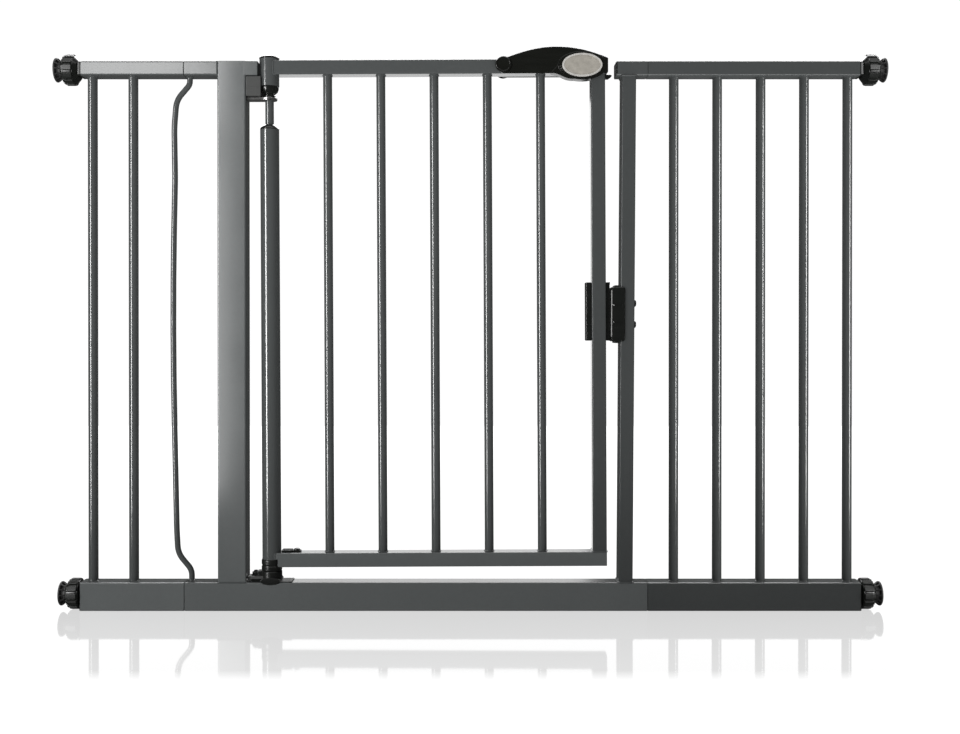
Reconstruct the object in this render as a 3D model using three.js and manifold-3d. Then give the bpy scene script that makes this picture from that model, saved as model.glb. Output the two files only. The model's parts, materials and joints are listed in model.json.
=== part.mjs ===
// Pressure-fit safety gate with a self-closing leaf and an extension panel on each side.
// Millimetres, +Z up, +X to the right, -Y towards the user. The origin is on the underside of
// the bottom rail, midway between the wall pads.
import * as THREE from 'three';
import { mergeVertices } from 'three/addons/utils/BufferGeometryUtils.js';
import Module from 'manifold-3d';

const manifold = await Module();
manifold.setup();

// ---------------------------------------------------------------- driving dimensions
const FRAME_HEIGHT = 770;
const RAIL_DEPTH = 30;
const TOP_RAIL_HEIGHT = 20;
const BOTTOM_RAIL_HEIGHT = 40;
const TUBE_WALL = 1.5;
const FIT_GAP = 0.3;

const RAIL_END = 547;
const UPPER_RAIL_SETBACK = 2;
const LEFT_SEAM = -400.5;
const RIGHT_SEAM = 248;
const SPIGOT_LENGTH = 25;
const EXTENSION_BAR = { diameter: 13.5, wall: 1 };
const LEFT_BARS = { first: -532.5, pitch: 57.3, count: 2 };
const RIGHT_BARS = { first: 286.5, pitch: 61.2, count: 5 };

const LEFT_POST = { centre: -334, width: 40 };
const RIGHT_POST = { centre: 217.4, width: 20, leanDegrees: 0.36 };
const RIGHT_STUB_END = 204;
const SIDE_BAR = { diameter: 8, top: -396.6, bottom: -394.5, knee: 14, bow: 6 };

const LEAF_LEAN_DEGREES = 0.25;
const HINGE_X = -280.2;
const HINGE_TUBE = { radius: 13.25, wall: 1.5, bottom: 66.5, top: 676 };
const HINGE_ROD = { radius: 6, bore: 6.35, bottom: 560 };
const HINGE_PLATE = { reach: -30.2, bottom: 717, thickness: 3.6, halfWidth: 9, eye: 11 };
const ARM_REACH = 16.2;
const SPRING = { turns: 9, radius: 9, wire: 1.6, bottom: 570, pitch: 8.8 };
const BARREL = { radius: 13.75, bottom: 736.7, top: 775.5 };
const LEAF_DEPTH = 25;
const LEAF_WIDTH = 472.1;
const LEAF_TUBE = 20;
const LEAF_BOTTOM = 60.7;
const LEAF_TOP = 771.8;
const LEAF_BARS = { first: 82, pitch: 75, count: 5, diameter: 12.7, wall: 1 };

const HANDLE = {
  pivotX: 329.7, pivotZ: 762.5, bossRadius: 10.4, end: 466, skin: 3,
  innerHalf: 16.3, roof: 775, brow: 787.5, browX: 404, sill: 750.4, chin: 737.6,
};
const BADGE = { x: 441.5, z: 760.5, halfWidth: 26.5, halfHeight: 15.9, thickness: 2.4 };
const THUMB_SLOT = { from: 410, to: 447, halfWidth: 8.4, floor: 778.2 };
const PIVOT_PIN = { radius: 4, head: 10.4, headThickness: 2.6 };
const STOP = {
  bottom: 377, top: 459, saddleLeft: 444.6, saddleRight: 477.8,
  block: 13, wrap: 6.6, halfDepth: 18.5,
};

const SPINDLE = { radius: 5, inner: 490 };
const WHEEL = {
  radius: 21.5, notches: 12, notchDepth: 3, ringLength: 15.5,
  neck: 13.2, shoulder: 19.5, hub: 15.8, hubLength: 2.4,
};
const PAD = { radius: 17, neck: 12, length: 9.4, face: 2.6 };
const MOUNT_LEVELS = {
  upper: {
    z: FRAME_HEIGHT - TOP_RAIL_HEIGHT / 2, height: TOP_RAIL_HEIGHT, flange: 2.4, skirt: 6.2,
  },
  lower: { z: 22, height: BOTTOM_RAIL_HEIGHT, flange: 0.8, skirt: 2.3 },
};

// ---------------------------------------------------------------- finishes
const FINISH = {
  slatePaint: { color: 0x5c605f, roughness: 0.38, metalness: 0.55 },
  brightSteel: { color: 0xb9babb, roughness: 0.3, metalness: 1 },
  springSteel: { color: 0x77797b, roughness: 0.4, metalness: 1 },
  blackPlastic: { color: 0x161815, roughness: 0.35, metalness: 0 },
  blackRubber: { color: 0x1b1c1c, roughness: 0.75, metalness: 0 },
  darkGuard: { color: 0x505351, roughness: 0.5, metalness: 0.2 },
  badgeFace: { color: 0xa39e94, roughness: 0.45, metalness: 0.3 },
};

// ---------------------------------------------------------------- outlines and solids
const radians = THREE.MathUtils.degToRad;

function rectangle(left, bottom, right, top) {
  const shape = new THREE.Shape();
  shape.moveTo(left, bottom);
  shape.lineTo(right, bottom);
  shape.lineTo(right, top);
  shape.lineTo(left, top);
  shape.closePath();
  return shape;
}

function centredRectangle(width, height, cx = 0, cy = 0) {
  return rectangle(cx - width / 2, cy - height / 2, cx + width / 2, cy + height / 2);
}

function disc(radius, cx = 0, cy = 0) {
  const shape = new THREE.Shape();
  shape.absarc(cx, cy, radius, 0, Math.PI * 2, false);
  return shape;
}

function withHole(outer, inner) {
  outer.holes.push(inner);
  return outer;
}

/** A straight prism of an outline. The outline lies in YZ, XZ or XY for axis x, y or z. */
function prism(shape, axis, from, to, curveSegments = 10) {
  const length = to - from;
  const options = { depth: length, bevelEnabled: false, curveSegments };
  const geometry = new THREE.ExtrudeGeometry(shape, options);
  if (axis === 'x') {
    const turn = new THREE.Matrix4().makeBasis(
      new THREE.Vector3(0, 1, 0), new THREE.Vector3(0, 0, 1), new THREE.Vector3(1, 0, 0),
    );
    geometry.applyMatrix4(turn).translate(from, 0, 0);
  } else if (axis === 'y') {
    geometry.rotateX(Math.PI / 2).translate(0, to, 0);
  } else {
    geometry.translate(0, 0, from);
  }
  return geometry;
}

/** A solid of revolution about +Z; the profile is [radius, height] upwards from axis to axis. */
function turned(profile, sides = 24) {
  const points = profile.map(([radius, height]) => new THREE.Vector2(radius, height));
  return new THREE.LatheGeometry(points, sides).rotateX(Math.PI / 2);
}

function box(x0, y0, z0, x1, y1, z1) {
  const geometry = new THREE.BoxGeometry(x1 - x0, y1 - y0, z1 - z0);
  return geometry.translate((x0 + x1) / 2, (y0 + y1) / 2, (z0 + z1) / 2);
}

function toManifold(geometry) {
  const bare = geometry.clone();
  bare.deleteAttribute('normal');
  bare.deleteAttribute('uv');
  const merged = mergeVertices(bare, 1e-3);
  const mesh = new manifold.Mesh({
    numProp: 3,
    vertProperties: new Float32Array(merged.attributes.position.array),
    triVerts: new Uint32Array(merged.index.array),
  });
  return new manifold.Manifold(mesh);
}

function toGeometry(solid) {
  const mesh = solid.getMesh();
  const geometry = new THREE.BufferGeometry();
  geometry.setAttribute('position', new THREE.BufferAttribute(mesh.vertProperties, 3));
  geometry.setIndex(new THREE.BufferAttribute(mesh.triVerts, 1));
  geometry.computeVertexNormals();
  return geometry;
}

function join(...geometries) {
  const solids = geometries.map(toManifold);
  return toGeometry(solids.reduce((whole, next) => whole.add(next)));
}

function cut(geometry, ...tools) {
  const solids = tools.map(toManifold);
  return toGeometry(solids.reduce((whole, tool) => whole.subtract(tool), toManifold(geometry)));
}

/** A part named as a fitter would name it, with its own material. */
function part(name, geometry, finish) {
  const mesh = new THREE.Mesh(geometry, new THREE.MeshStandardMaterial(FINISH[finish]));
  mesh.name = name;
  return mesh;
}

// ---------------------------------------------------------------- tube stock
function rectangularTube(depth, height, centreZ = 0) {
  const bore = centredRectangle(depth - 2 * TUBE_WALL, height - 2 * TUBE_WALL, 0, centreZ);
  return withHole(centredRectangle(depth, height, 0, centreZ), bore);
}

function horizontalRail(from, to, height, centreZ, depth = RAIL_DEPTH) {
  return prism(rectangularTube(depth, height, centreZ), 'x', from, to);
}

function uprightTube(width, depth, bottom, top) {
  const bore = centredRectangle(width - 2 * TUBE_WALL, depth - 2 * TUBE_WALL);
  return prism(withHole(centredRectangle(width, depth), bore), 'z', bottom, top);
}

function roundTube(diameter, wall, bottom, top) {
  return prism(withHole(disc(diameter / 2), disc(diameter / 2 - wall)), 'z', bottom, top, 8);
}

/** An extension rail closed at the seam, with a spigot that slides into the frame's rail. */
function spigotRail(outerEnd, seam, height, centreZ) {
  const inwards = Math.sign(seam - outerEnd);
  const span = (a, b) => [Math.min(a, b), Math.max(a, b)];
  const fit = 2 * (TUBE_WALL + FIT_GAP);
  const bulkheadStart = seam - inwards * 2 * TUBE_WALL;
  const spigotEnd = seam + inwards * SPIGOT_LENGTH;
  const tube = horizontalRail(...span(outerEnd, seam), height, centreZ);
  const outline = centredRectangle(RAIL_DEPTH, height, 0, centreZ);
  const bulkhead = prism(outline, 'x', ...span(bulkheadStart, seam));
  const spigotOutline = centredRectangle(RAIL_DEPTH - fit, height - fit, 0, centreZ);
  const spigot = prism(spigotOutline, 'x', ...span(seam - inwards * TUBE_WALL, spigotEnd));
  const inner = fit + 2 * TUBE_WALL;
  const hollow = centredRectangle(RAIL_DEPTH - inner, height - inner, 0, centreZ);
  const bore = prism(hollow, 'x', ...span(seam, spigotEnd + inwards));
  return cut(join(tube, bulkhead, spigot), bore);
}

// ---------------------------------------------------------------- fixed frame
const TOP_RAIL_Z = FRAME_HEIGHT - TOP_RAIL_HEIGHT / 2;
const BOTTOM_RAIL_Z = BOTTOM_RAIL_HEIGHT / 2;
const CLEAR_BOTTOM = BOTTOM_RAIL_HEIGHT + FIT_GAP;
const CLEAR_TOP = FRAME_HEIGHT - TOP_RAIL_HEIGHT - FIT_GAP;
const SEAM_GAP = 0.35;

function extension(side, bars) {
  const group = new THREE.Group();
  const seam = side === 'left' ? LEFT_SEAM - SEAM_GAP : RIGHT_SEAM + SEAM_GAP;
  const end = side === 'left' ? -RAIL_END : RAIL_END;
  const upperEnd = end - Math.sign(end) * UPPER_RAIL_SETBACK;
  const top = spigotRail(upperEnd, seam, TOP_RAIL_HEIGHT, TOP_RAIL_Z);
  const bottom = spigotRail(end, seam, BOTTOM_RAIL_HEIGHT, BOTTOM_RAIL_Z);
  group.add(part(`${side}_extension_top_rail`, top, 'slatePaint'));
  group.add(part(`${side}_extension_bottom_rail`, bottom, 'slatePaint'));
  for (let i = 0; i < bars.count; i += 1) {
    const { diameter, wall } = EXTENSION_BAR;
    const bar = part(`${side}_extension_bar_${i + 1}`,
      roundTube(diameter, wall, CLEAR_BOTTOM, CLEAR_TOP), 'slatePaint');
    bar.position.x = bars.first + i * bars.pitch;
    group.add(bar);
  }
  return group;
}

/** The slim side bar: two straight feet, a knee at each end and a shallow bow between. */
function sideBar() {
  const { diameter, top, bottom, knee, bow } = SIDE_BAR;
  const kneeTop = CLEAR_TOP - 32;
  const kneeBottom = CLEAR_BOTTOM + 57;
  const bowed = (share) => {
    const z = THREE.MathUtils.lerp(kneeTop, kneeBottom, share);
    const slope = THREE.MathUtils.lerp(top - knee - 4, bottom - knee - 5, share);
    return new THREE.Vector3(slope - bow * Math.sin(Math.PI * share), 0, z);
  };
  const route = new THREE.CatmullRomCurve3([
    new THREE.Vector3(top, 0, CLEAR_TOP),
    new THREE.Vector3(top, 0, CLEAR_TOP - 12),
    ...[0, 0.17, 0.34, 0.5, 0.66, 0.83, 1].map(bowed),
    new THREE.Vector3(bottom - 9.5, 0, CLEAR_BOTTOM + 28),
    new THREE.Vector3(bottom, 0, CLEAR_BOTTOM + 11),
    new THREE.Vector3(bottom, 0, CLEAR_BOTTOM),
  ], false, 'centripetal');
  const options = { steps: 34, extrudePath: route, bevelEnabled: false, curveSegments: 5 };
  return new THREE.ExtrudeGeometry(disc(diameter / 2), options);
}

/** The wide post, full height, with the arm welded at its top that shields the hinge barrel. */
function leftPost() {
  const { centre, width } = LEFT_POST;
  const right = centre + width / 2;
  const outline = withHole(centredRectangle(width, RAIL_DEPTH, centre, 0),
    centredRectangle(width - 2 * TUBE_WALL, RAIL_DEPTH - 2 * TUBE_WALL, centre, 0));
  const post = prism(outline, 'z', CLEAR_BOTTOM, FRAME_HEIGHT);
  const arm = box(right - TUBE_WALL / 2, -RAIL_DEPTH / 2, CLEAR_TOP + FIT_GAP,
    right + ARM_REACH, RAIL_DEPTH / 2, FRAME_HEIGHT);
  return join(post, arm);
}

/** The end cap of the right stub: a plug inside the tube, a neck and the striking face. */
function latchKeeper() {
  const end = RIGHT_STUB_END;
  const z = TOP_RAIL_Z;
  const halfDepth = RAIL_DEPTH / 2;
  const plug = box(end + FIT_GAP, 1.8 - halfDepth, z - 8.2, end + 8, halfDepth - 1.8, z + 8.2);
  const face = box(end - 2.5, -halfDepth, z - 11.5, end - FIT_GAP, halfDepth, z + 9.5);
  const neck = box(end - 1, -8, z - 6, end + 2, 8, z + 6);
  return part('latch_keeper', join(plug, face, neck), 'blackPlastic');
}

function frame() {
  const group = new THREE.Group();
  const postLeft = LEFT_POST.centre - LEFT_POST.width / 2;
  const leftStub = horizontalRail(LEFT_SEAM, postLeft - FIT_GAP, TOP_RAIL_HEIGHT, TOP_RAIL_Z);
  const bottomRail = horizontalRail(LEFT_SEAM, RIGHT_SEAM, BOTTOM_RAIL_HEIGHT, BOTTOM_RAIL_Z);
  const rightStub = horizontalRail(RIGHT_STUB_END, RIGHT_SEAM, TOP_RAIL_HEIGHT, TOP_RAIL_Z);
  group.add(part('left_stub_rail', leftStub, 'slatePaint'));
  group.add(part('frame_bottom_rail', bottomRail, 'slatePaint'));
  group.add(part('right_stub_rail', rightStub, 'slatePaint'));
  group.add(part('bowed_side_bar', sideBar(), 'slatePaint'));
  group.add(part('left_post', leftPost(), 'slatePaint'));

  const lean = radians(RIGHT_POST.leanDegrees);
  const foot = 0.4;
  const postHeight = CLEAR_TOP - BOTTOM_RAIL_HEIGHT - foot;
  const rightPost = part('right_post',
    uprightTube(RIGHT_POST.width, RAIL_DEPTH, foot, postHeight), 'slatePaint');
  rightPost.position.set(RIGHT_POST.centre, 0, BOTTOM_RAIL_HEIGHT);
  rightPost.rotation.y = lean;
  group.add(rightPost);

  group.add(latchKeeper());
  return group;
}

/** The block on the right post that the stile's stop saddle closes against. */
function stopBlock() {
  const lean = radians(RIGHT_POST.leanDegrees);
  const height = STOP.top - STOP.bottom - 1;
  const middle = (STOP.top + STOP.bottom) / 2 - 2;
  const postX = RIGHT_POST.centre + (middle - BOTTOM_RAIL_HEIGHT) * Math.tan(lean);
  const postLeft = -RIGHT_POST.width / 2;
  const { block: reach, wrap, halfDepth } = STOP;
  const outline = rectangle(postLeft - reach, -halfDepth, postLeft + wrap, halfDepth);
  const block = prism(outline, 'z', -height / 2, height / 2);
  const half = RAIL_DEPTH / 2 + FIT_GAP;
  const seat = box(postLeft - FIT_GAP, -half, -height, postLeft + 20, half, height);
  const mesh = part('stop_block', cut(block, seat), 'blackPlastic');
  mesh.position.set(postX, 0, middle);
  mesh.rotation.y = lean;
  return mesh;
}

// ---------------------------------------------------------------- hinge pieces on the post
function fixedHinge() {
  const group = new THREE.Group();
  const { reach, bottom, thickness, halfWidth, eye } = HINGE_PLATE;
  const plateTop = bottom + thickness;
  const plateBody = join(
    prism(disc(eye), 'z', bottom - 0.5, plateTop + 0.4, 10),
    box(reach, -halfWidth, bottom, 0, halfWidth, plateTop),
  );
  const eyeBore = prism(disc(HINGE_ROD.bore), 'z', bottom - 20, plateTop + 20, 10);
  group.add(part('upper_hinge_plate', cut(plateBody, eyeBore), 'brightSteel'));

  const guard = box(reach, -14.5, plateTop + 0.8, -9.8, 14.5, CLEAR_TOP - 0.7);
  const scallop = prism(disc(BARREL.radius + 0.9), 'z', bottom, CLEAR_TOP + 5, 14);
  group.add(part('upper_hinge_guard', cut(guard, scallop), 'darkGuard'));

  const cupBottom = BOTTOM_RAIL_HEIGHT + 0.9;
  const cup = turned([
    [0, cupBottom], [13.9, cupBottom], [13.9, 54.6], [7, 54.6], [7, 53], [5.2, 53], [5.2, 75], [0, 75],
  ]);
  group.add(part('lower_hinge_cup', cup, 'blackPlastic'));
  const strap = box(-33, -9.5, 44, -8, 9.5, 48);
  const cupClear = prism(disc(14.3), 'z', 30, 60, 12);
  const boltBore = prism(disc(3.4, -22.5, 0), 'z', 40, 60, 6);
  group.add(part('lower_hinge_plate', cut(strap, cupClear, boltBore), 'darkGuard'));
  return group;
}

// ---------------------------------------------------------------- swinging leaf
/** The torsion spring wound round the rod inside the hinge tube. */
function closingSpring() {
  const { turns, radius, wire, bottom, pitch } = SPRING;
  const stepsPerTurn = 8;
  const helix = new THREE.CatmullRomCurve3(
    Array.from({ length: turns * stepsPerTurn + 1 }, (_, i) => {
      const turn = i / stepsPerTurn;
      const angle = turn * Math.PI * 2;
      return new THREE.Vector3(
        radius * Math.cos(angle), radius * Math.sin(angle), bottom + turn * pitch,
      );
    }),
  );
  const options = { steps: turns * 10, extrudePath: helix, bevelEnabled: false, curveSegments: 3 };
  return part('closing_spring', new THREE.ExtrudeGeometry(disc(wire), options), 'springSteel');
}

function leafHinge() {
  const group = new THREE.Group();
  const { radius, wall, bottom, top } = HINGE_TUBE;
  const tube = prism(withHole(disc(radius), disc(radius - wall)), 'z', bottom, top, 14);
  const rod = prism(disc(HINGE_ROD.radius), 'z', HINGE_ROD.bottom, BARREL.top - 6, 10);
  group.add(part('hinge_tube', tube, 'slatePaint'));
  group.add(part('hinge_rod', rod, 'slatePaint'));

  const barrel = cut(
    prism(disc(BARREL.radius), 'z', BARREL.bottom, BARREL.top, 14),
    prism(disc(HINGE_ROD.bore), 'z', BARREL.bottom - 5, BARREL.top - 4, 10),
  );
  group.add(part('hinge_barrel', barrel, 'slatePaint'));

  const bush = turned([
    [0, 721.4], [8.2, 721.4], [8.2, 724], [6.9, 726], [11.6, 731], [13, 736.4], [0, 736.4],
  ]);
  const rodBore = prism(disc(HINGE_ROD.bore), 'z', 700, 750, 10);
  group.add(part('hinge_cam_bush', cut(bush, rodBore), 'blackPlastic'));

  const collar = turned([
    [0, 55.2], [13.8, 55.2], [13.8, 60.2], [13.1, 60.2],
    [13.1, 66.2], [11.4, 66.2], [11.4, 74], [0, 74],
  ]);
  const pinBore = prism(disc(5.7), 'z', 50, 80, 10);
  group.add(part('hinge_collar', cut(collar, pinBore), 'blackPlastic'));

  group.add(closingSpring());
  return group;
}

/** The leaf's welded tubes, drawn upright with the hinge axis on local Z. */
function leafFrame() {
  const group = new THREE.Group();
  const topZ = LEAF_TOP - LEAF_TUBE / 2;
  const bottomZ = LEAF_BOTTOM + LEAF_TUBE / 2;
  const topStart = BARREL.radius + FIT_GAP;
  const topRail = cut(
    horizontalRail(topStart, LEAF_WIDTH, LEAF_TUBE, topZ, LEAF_DEPTH),
    prism(disc(PIVOT_PIN.radius + FIT_GAP, HANDLE.pivotX, HANDLE.pivotZ), 'y', -20, 20, 8),
  );
  group.add(part('leaf_top_rail', topRail, 'slatePaint'));
  const tubeStart = HINGE_TUBE.radius + FIT_GAP;
  const bottomRail = horizontalRail(tubeStart, LEAF_WIDTH, LEAF_TUBE, bottomZ, LEAF_DEPTH);
  group.add(part('leaf_bottom_rail', bottomRail, 'slatePaint'));

  const low = LEAF_BOTTOM + LEAF_TUBE + FIT_GAP;
  const high = LEAF_TOP - LEAF_TUBE - FIT_GAP;
  for (let i = 0; i < LEAF_BARS.count; i += 1) {
    const tube = roundTube(LEAF_BARS.diameter, LEAF_BARS.wall, low, high);
    const bar = part(`leaf_bar_${i + 1}`, tube, 'slatePaint');
    bar.position.x = LEAF_BARS.first + i * LEAF_BARS.pitch;
    group.add(bar);
  }

  const stile = uprightTube(LEAF_TUBE, LEAF_DEPTH, low, high);
  stile.translate(LEAF_WIDTH - LEAF_TUBE / 2, 0, 0);
  const boltWindow = box(LEAF_WIDTH - 5, -6, 744.8, LEAF_WIDTH + 5, 6, 760);
  group.add(part('latch_stile', cut(stile, boltWindow), 'slatePaint'));

  const half = LEAF_DEPTH / 2 + FIT_GAP;
  const saddle = box(STOP.saddleLeft, -8, STOP.bottom, STOP.saddleRight, half + 3, STOP.top);
  const stileSeat = box(LEAF_WIDTH - LEAF_TUBE - FIT_GAP, -20, STOP.bottom - 5,
    LEAF_WIDTH + FIT_GAP, half, STOP.top + 5);
  group.add(part('stop_saddle', cut(saddle, stileSeat), 'blackPlastic'));
  return group;
}

// ---------------------------------------------------------------- handle and latch
/** Side outline of the lever: a round boss at the pivot, a low arch, and a drop round the badge. */
function leverOutline() {
  const { pivotX, pivotZ, bossRadius, end, brow, browX, sill, chin } = HANDLE;
  const shape = new THREE.Shape();
  shape.moveTo(pivotX, sill);
  shape.lineTo(BADGE.x - 52, sill);
  shape.bezierCurveTo(BADGE.x - 30, sill, BADGE.x - 28, chin, BADGE.x, chin);
  shape.quadraticCurveTo(end - 6, chin + 0.9, end, chin + 8.4);
  shape.lineTo(end, brow - 11.9);
  shape.bezierCurveTo(end - 22, brow - 6, browX + 32, brow, browX, brow);
  shape.quadraticCurveTo(browX - 40, brow, pivotX + 6, pivotZ + bossRadius + 1);
  shape.absarc(pivotX, pivotZ, bossRadius, Math.PI / 2, Math.PI * 1.35, false);
  shape.closePath();
  return shape;
}

function handle() {
  const group = new THREE.Group();
  const { pivotX, pivotZ, innerHalf, skin, roof, sill } = HANDLE;
  const outerHalf = innerHalf + skin;
  const pinHole = prism(disc(PIVOT_PIN.radius + FIT_GAP, pivotX, pivotZ), 'y', -40, 40, 8);

  const { from, to, halfWidth, floor } = THUMB_SLOT;
  const slot = box(from, -halfWidth, floor, to, halfWidth, HANDLE.brow + 10);
  const inside = box(300, -innerHalf, 700, 600, innerHalf, roof);
  const lever = cut(prism(leverOutline(), 'y', -outerHalf, outerHalf, 6), inside, pinHole, slot);
  group.add(part('handle_lever', lever, 'blackPlastic'));

  const railHalf = LEAF_DEPTH / 2 + FIT_GAP;
  const housingHalf = innerHalf - FIT_GAP;
  const shell = box(pivotX - 8, -housingHalf, sill + 1, LEAF_WIDTH + 6.4, housingHalf, roof - 1);
  const railSeat = box(pivotX - 20, -railHalf, 700,
    LEAF_WIDTH + FIT_GAP, railHalf, LEAF_TOP + FIT_GAP);
  group.add(part('handle_housing', cut(shell, railSeat, pinHole), 'blackPlastic'));

  group.add(pivotPin(outerHalf));

  const oval = new THREE.Shape();
  oval.absellipse(BADGE.x, BADGE.z, BADGE.halfWidth, BADGE.halfHeight, 0, Math.PI * 2, false, 0);
  const badgeBack = -outerHalf - FIT_GAP;
  const badge = prism(oval, 'y', badgeBack - BADGE.thickness, badgeBack, 12);
  group.add(part('handle_badge', badge, 'badgeFace'));

  const ridges = [0, 1, 2, 3].map((i) => box(422 + i * 5, -7, floor + 1.3, 424.5 + i * 5, 7, floor + 3.4));
  const thumb = join(box(420, -8, floor + 0.4, 446, 8, floor + 2), ...ridges);
  group.add(part('release_slide', thumb, 'blackPlastic'));
  group.add(latchBolt());
  return group;
}

/** The pin through the lever and the top rail, with a broad round head on each side. */
function pivotPin(outerHalf) {
  const { radius, head, headThickness } = PIVOT_PIN;
  const seat = outerHalf + FIT_GAP;
  const top = outerHalf + headThickness;
  const upperHalf = [[radius, seat], [head, seat], [head, top - 1], [head - 0.6, top], [0, top]];
  const lowerHalf = upperHalf.map(([r, height]) => [r, -height]).reverse();
  const pin = turned([...lowerHalf, ...upperHalf], 16);
  pin.rotateX(Math.PI / 2).translate(HANDLE.pivotX, 0, HANDLE.pivotZ);
  return part('handle_pivot_pin', pin, 'blackPlastic');
}

/** The sliding tongue that reaches out of the stile, hooked at its tip. */
function latchBolt() {
  const tail = LEAF_WIDTH - 12;
  const tongue = new THREE.Shape();
  tongue.moveTo(tail, 745.6);
  tongue.lineTo(LEAF_WIDTH + 5.4, 745.6);
  tongue.lineTo(LEAF_WIDTH + 10.4, 749.4);
  tongue.lineTo(LEAF_WIDTH + 8.4, 750.8);
  tongue.lineTo(tail, 750.8);
  tongue.closePath();
  return part('latch_bolt', prism(tongue, 'y', -5, 5), 'brightSteel');
}

// ---------------------------------------------------------------- wall mounts
function wheelOutline() {
  const { radius, notches, notchDepth } = WHEEL;
  const shape = new THREE.Shape();
  const step = (Math.PI * 2) / notches;
  for (let i = 0; i < notches; i += 1) {
    const start = i * step;
    const root = radius - notchDepth;
    const corners = [[radius, 0], [radius, 0.62], [root, 0.7], [root, 0.92]];
    corners.forEach(([r, share], k) => {
      const angle = start + share * step;
      const move = i === 0 && k === 0 ? 'moveTo' : 'lineTo';
      shape[move](r * Math.cos(angle), r * Math.sin(angle));
    });
  }
  shape.closePath();
  return shape;
}

/** One wall mount, drawn along local +Z from the rail's end plane outwards. */
function wallMount(prefix, level) {
  const group = new THREE.Group();
  const { height, flange, skirt, z } = MOUNT_LEVELS[level];
  const below = level === 'upper' ? 0 : z - height / 2;
  const bore = SPINDLE.radius + 0.35;
  const tubeFit = 2 * (TUBE_WALL + FIT_GAP);
  const railEnd = level === 'upper' ? -UPPER_RAIL_SETBACK : 0;
  const stem = prism(centredRectangle(height - tubeFit, RAIL_DEPTH - tubeFit, below, 0), 'z',
    railEnd - 22, railEnd + 0.5);
  const lip = prism(centredRectangle(height - 0.4, RAIL_DEPTH - 0.4, below, 0), 'z',
    railEnd + FIT_GAP, flange);
  const threadHole = prism(disc(bore), 'z', -40, 80, 10);
  group.add(part(`${prefix}_rail_plug`, cut(join(stem, lip), threadHole), 'blackPlastic'));

  const { neck, shoulder, hub, hubLength, ringLength, radius, notchDepth } = WHEEL;
  const start = flange + FIT_GAP;
  const ringStart = start + skirt;
  const ringEnd = ringStart + ringLength;
  const hubEnd = ringEnd + hubLength;
  const skirtCone = turned([
    [0, start], [neck, start], [shoulder, ringStart], [shoulder, ringStart + 1], [0, ringStart + 1],
  ]);
  const ring = prism(wheelOutline(), 'z', ringStart + 0.8, ringEnd);
  const nose = turned([
    [0, ringEnd - 1], [radius - notchDepth - 0.4, ringEnd - 1], [hub, hubEnd], [0, hubEnd],
  ]);
  const wheel = cut(join(skirtCone, ring, nose), threadHole);
  group.add(part(`${prefix}_handwheel`, wheel, 'blackPlastic'));

  const padStart = hubEnd + 0.4;
  const padEnd = padStart + PAD.length;
  const socketEnd = padStart + 4.4;
  const spindle = prism(disc(SPINDLE.radius), 'z', SPINDLE.inner - RAIL_END, socketEnd - 0.4, 10);
  group.add(part(`${prefix}_spindle`, spindle, 'brightSteel'));
  const pad = turned([
    [0, socketEnd], [bore, socketEnd], [bore, padStart], [PAD.neck, padStart],
    [PAD.neck, padStart + 2.2], [PAD.radius, padEnd - PAD.face], [PAD.radius, padEnd], [0, padEnd],
  ]);
  group.add(part(`${prefix}_wall_pad`, pad, 'blackRubber'));
  return group;
}

function wallMounts() {
  const group = new THREE.Group();
  Object.keys(MOUNT_LEVELS).forEach((level) => {
    [-1, 1].forEach((side) => {
      const mount = wallMount(`${level}_${side < 0 ? 'left' : 'right'}`, level);
      mount.rotation.set(0, (side * Math.PI) / 2, side < 0 ? Math.PI : 0, 'YXZ');
      mount.position.set(side * RAIL_END, 0, MOUNT_LEVELS[level].z);
      group.add(mount);
    });
  });
  return group;
}

// ---------------------------------------------------------------- assembly
const gate = new THREE.Group();
gate.add(extension('left', LEFT_BARS));
gate.add(extension('right', RIGHT_BARS));
gate.add(frame());
gate.add(stopBlock());
gate.add(wallMounts());

const hingeLine = new THREE.Group();
hingeLine.position.x = HINGE_X;
hingeLine.rotation.y = -radians(LEAF_LEAN_DEGREES);
hingeLine.add(fixedHinge(), leafHinge(), leafFrame(), handle());
gate.add(hingeLine);

export default gate;
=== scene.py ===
"""Finished surfaces for a pressure-fit safety gate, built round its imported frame.

Lengths are metres in the frame's own axes: +X to the latch side, -Y towards the user, +Z up.
Pieces of the swinging leaf are drawn upright, with the hinge line on Z, and then leaned into place.
"""
import json
import math

import bmesh
import bpy
from bpy.props import FloatProperty, FloatVectorProperty, IntProperty, PointerProperty
from mathutils import Matrix, Vector


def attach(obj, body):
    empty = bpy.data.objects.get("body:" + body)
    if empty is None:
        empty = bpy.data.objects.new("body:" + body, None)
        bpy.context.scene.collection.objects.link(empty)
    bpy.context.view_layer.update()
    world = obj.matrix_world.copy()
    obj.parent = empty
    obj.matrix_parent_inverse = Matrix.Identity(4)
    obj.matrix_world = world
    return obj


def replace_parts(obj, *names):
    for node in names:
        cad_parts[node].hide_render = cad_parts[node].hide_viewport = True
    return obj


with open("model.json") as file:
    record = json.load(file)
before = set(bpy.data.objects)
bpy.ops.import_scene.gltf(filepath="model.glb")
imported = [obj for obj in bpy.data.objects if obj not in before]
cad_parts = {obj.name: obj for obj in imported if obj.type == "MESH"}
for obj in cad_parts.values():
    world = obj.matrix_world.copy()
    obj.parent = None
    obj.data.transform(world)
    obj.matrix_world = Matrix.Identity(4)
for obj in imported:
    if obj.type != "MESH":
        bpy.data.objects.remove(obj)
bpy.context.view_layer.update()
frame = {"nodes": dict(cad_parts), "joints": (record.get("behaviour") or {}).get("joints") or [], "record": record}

bl_info = {
    "name": "Safety Gate Finisher",
    "version": (1, 0, 0),
    "blender": (4, 5, 0),
    "location": "View3D > Sidebar > Gate",
    "description": "Builds the tubes, fittings, finishes and studio of a safety gate",
    "category": "Add Mesh",
}

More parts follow.
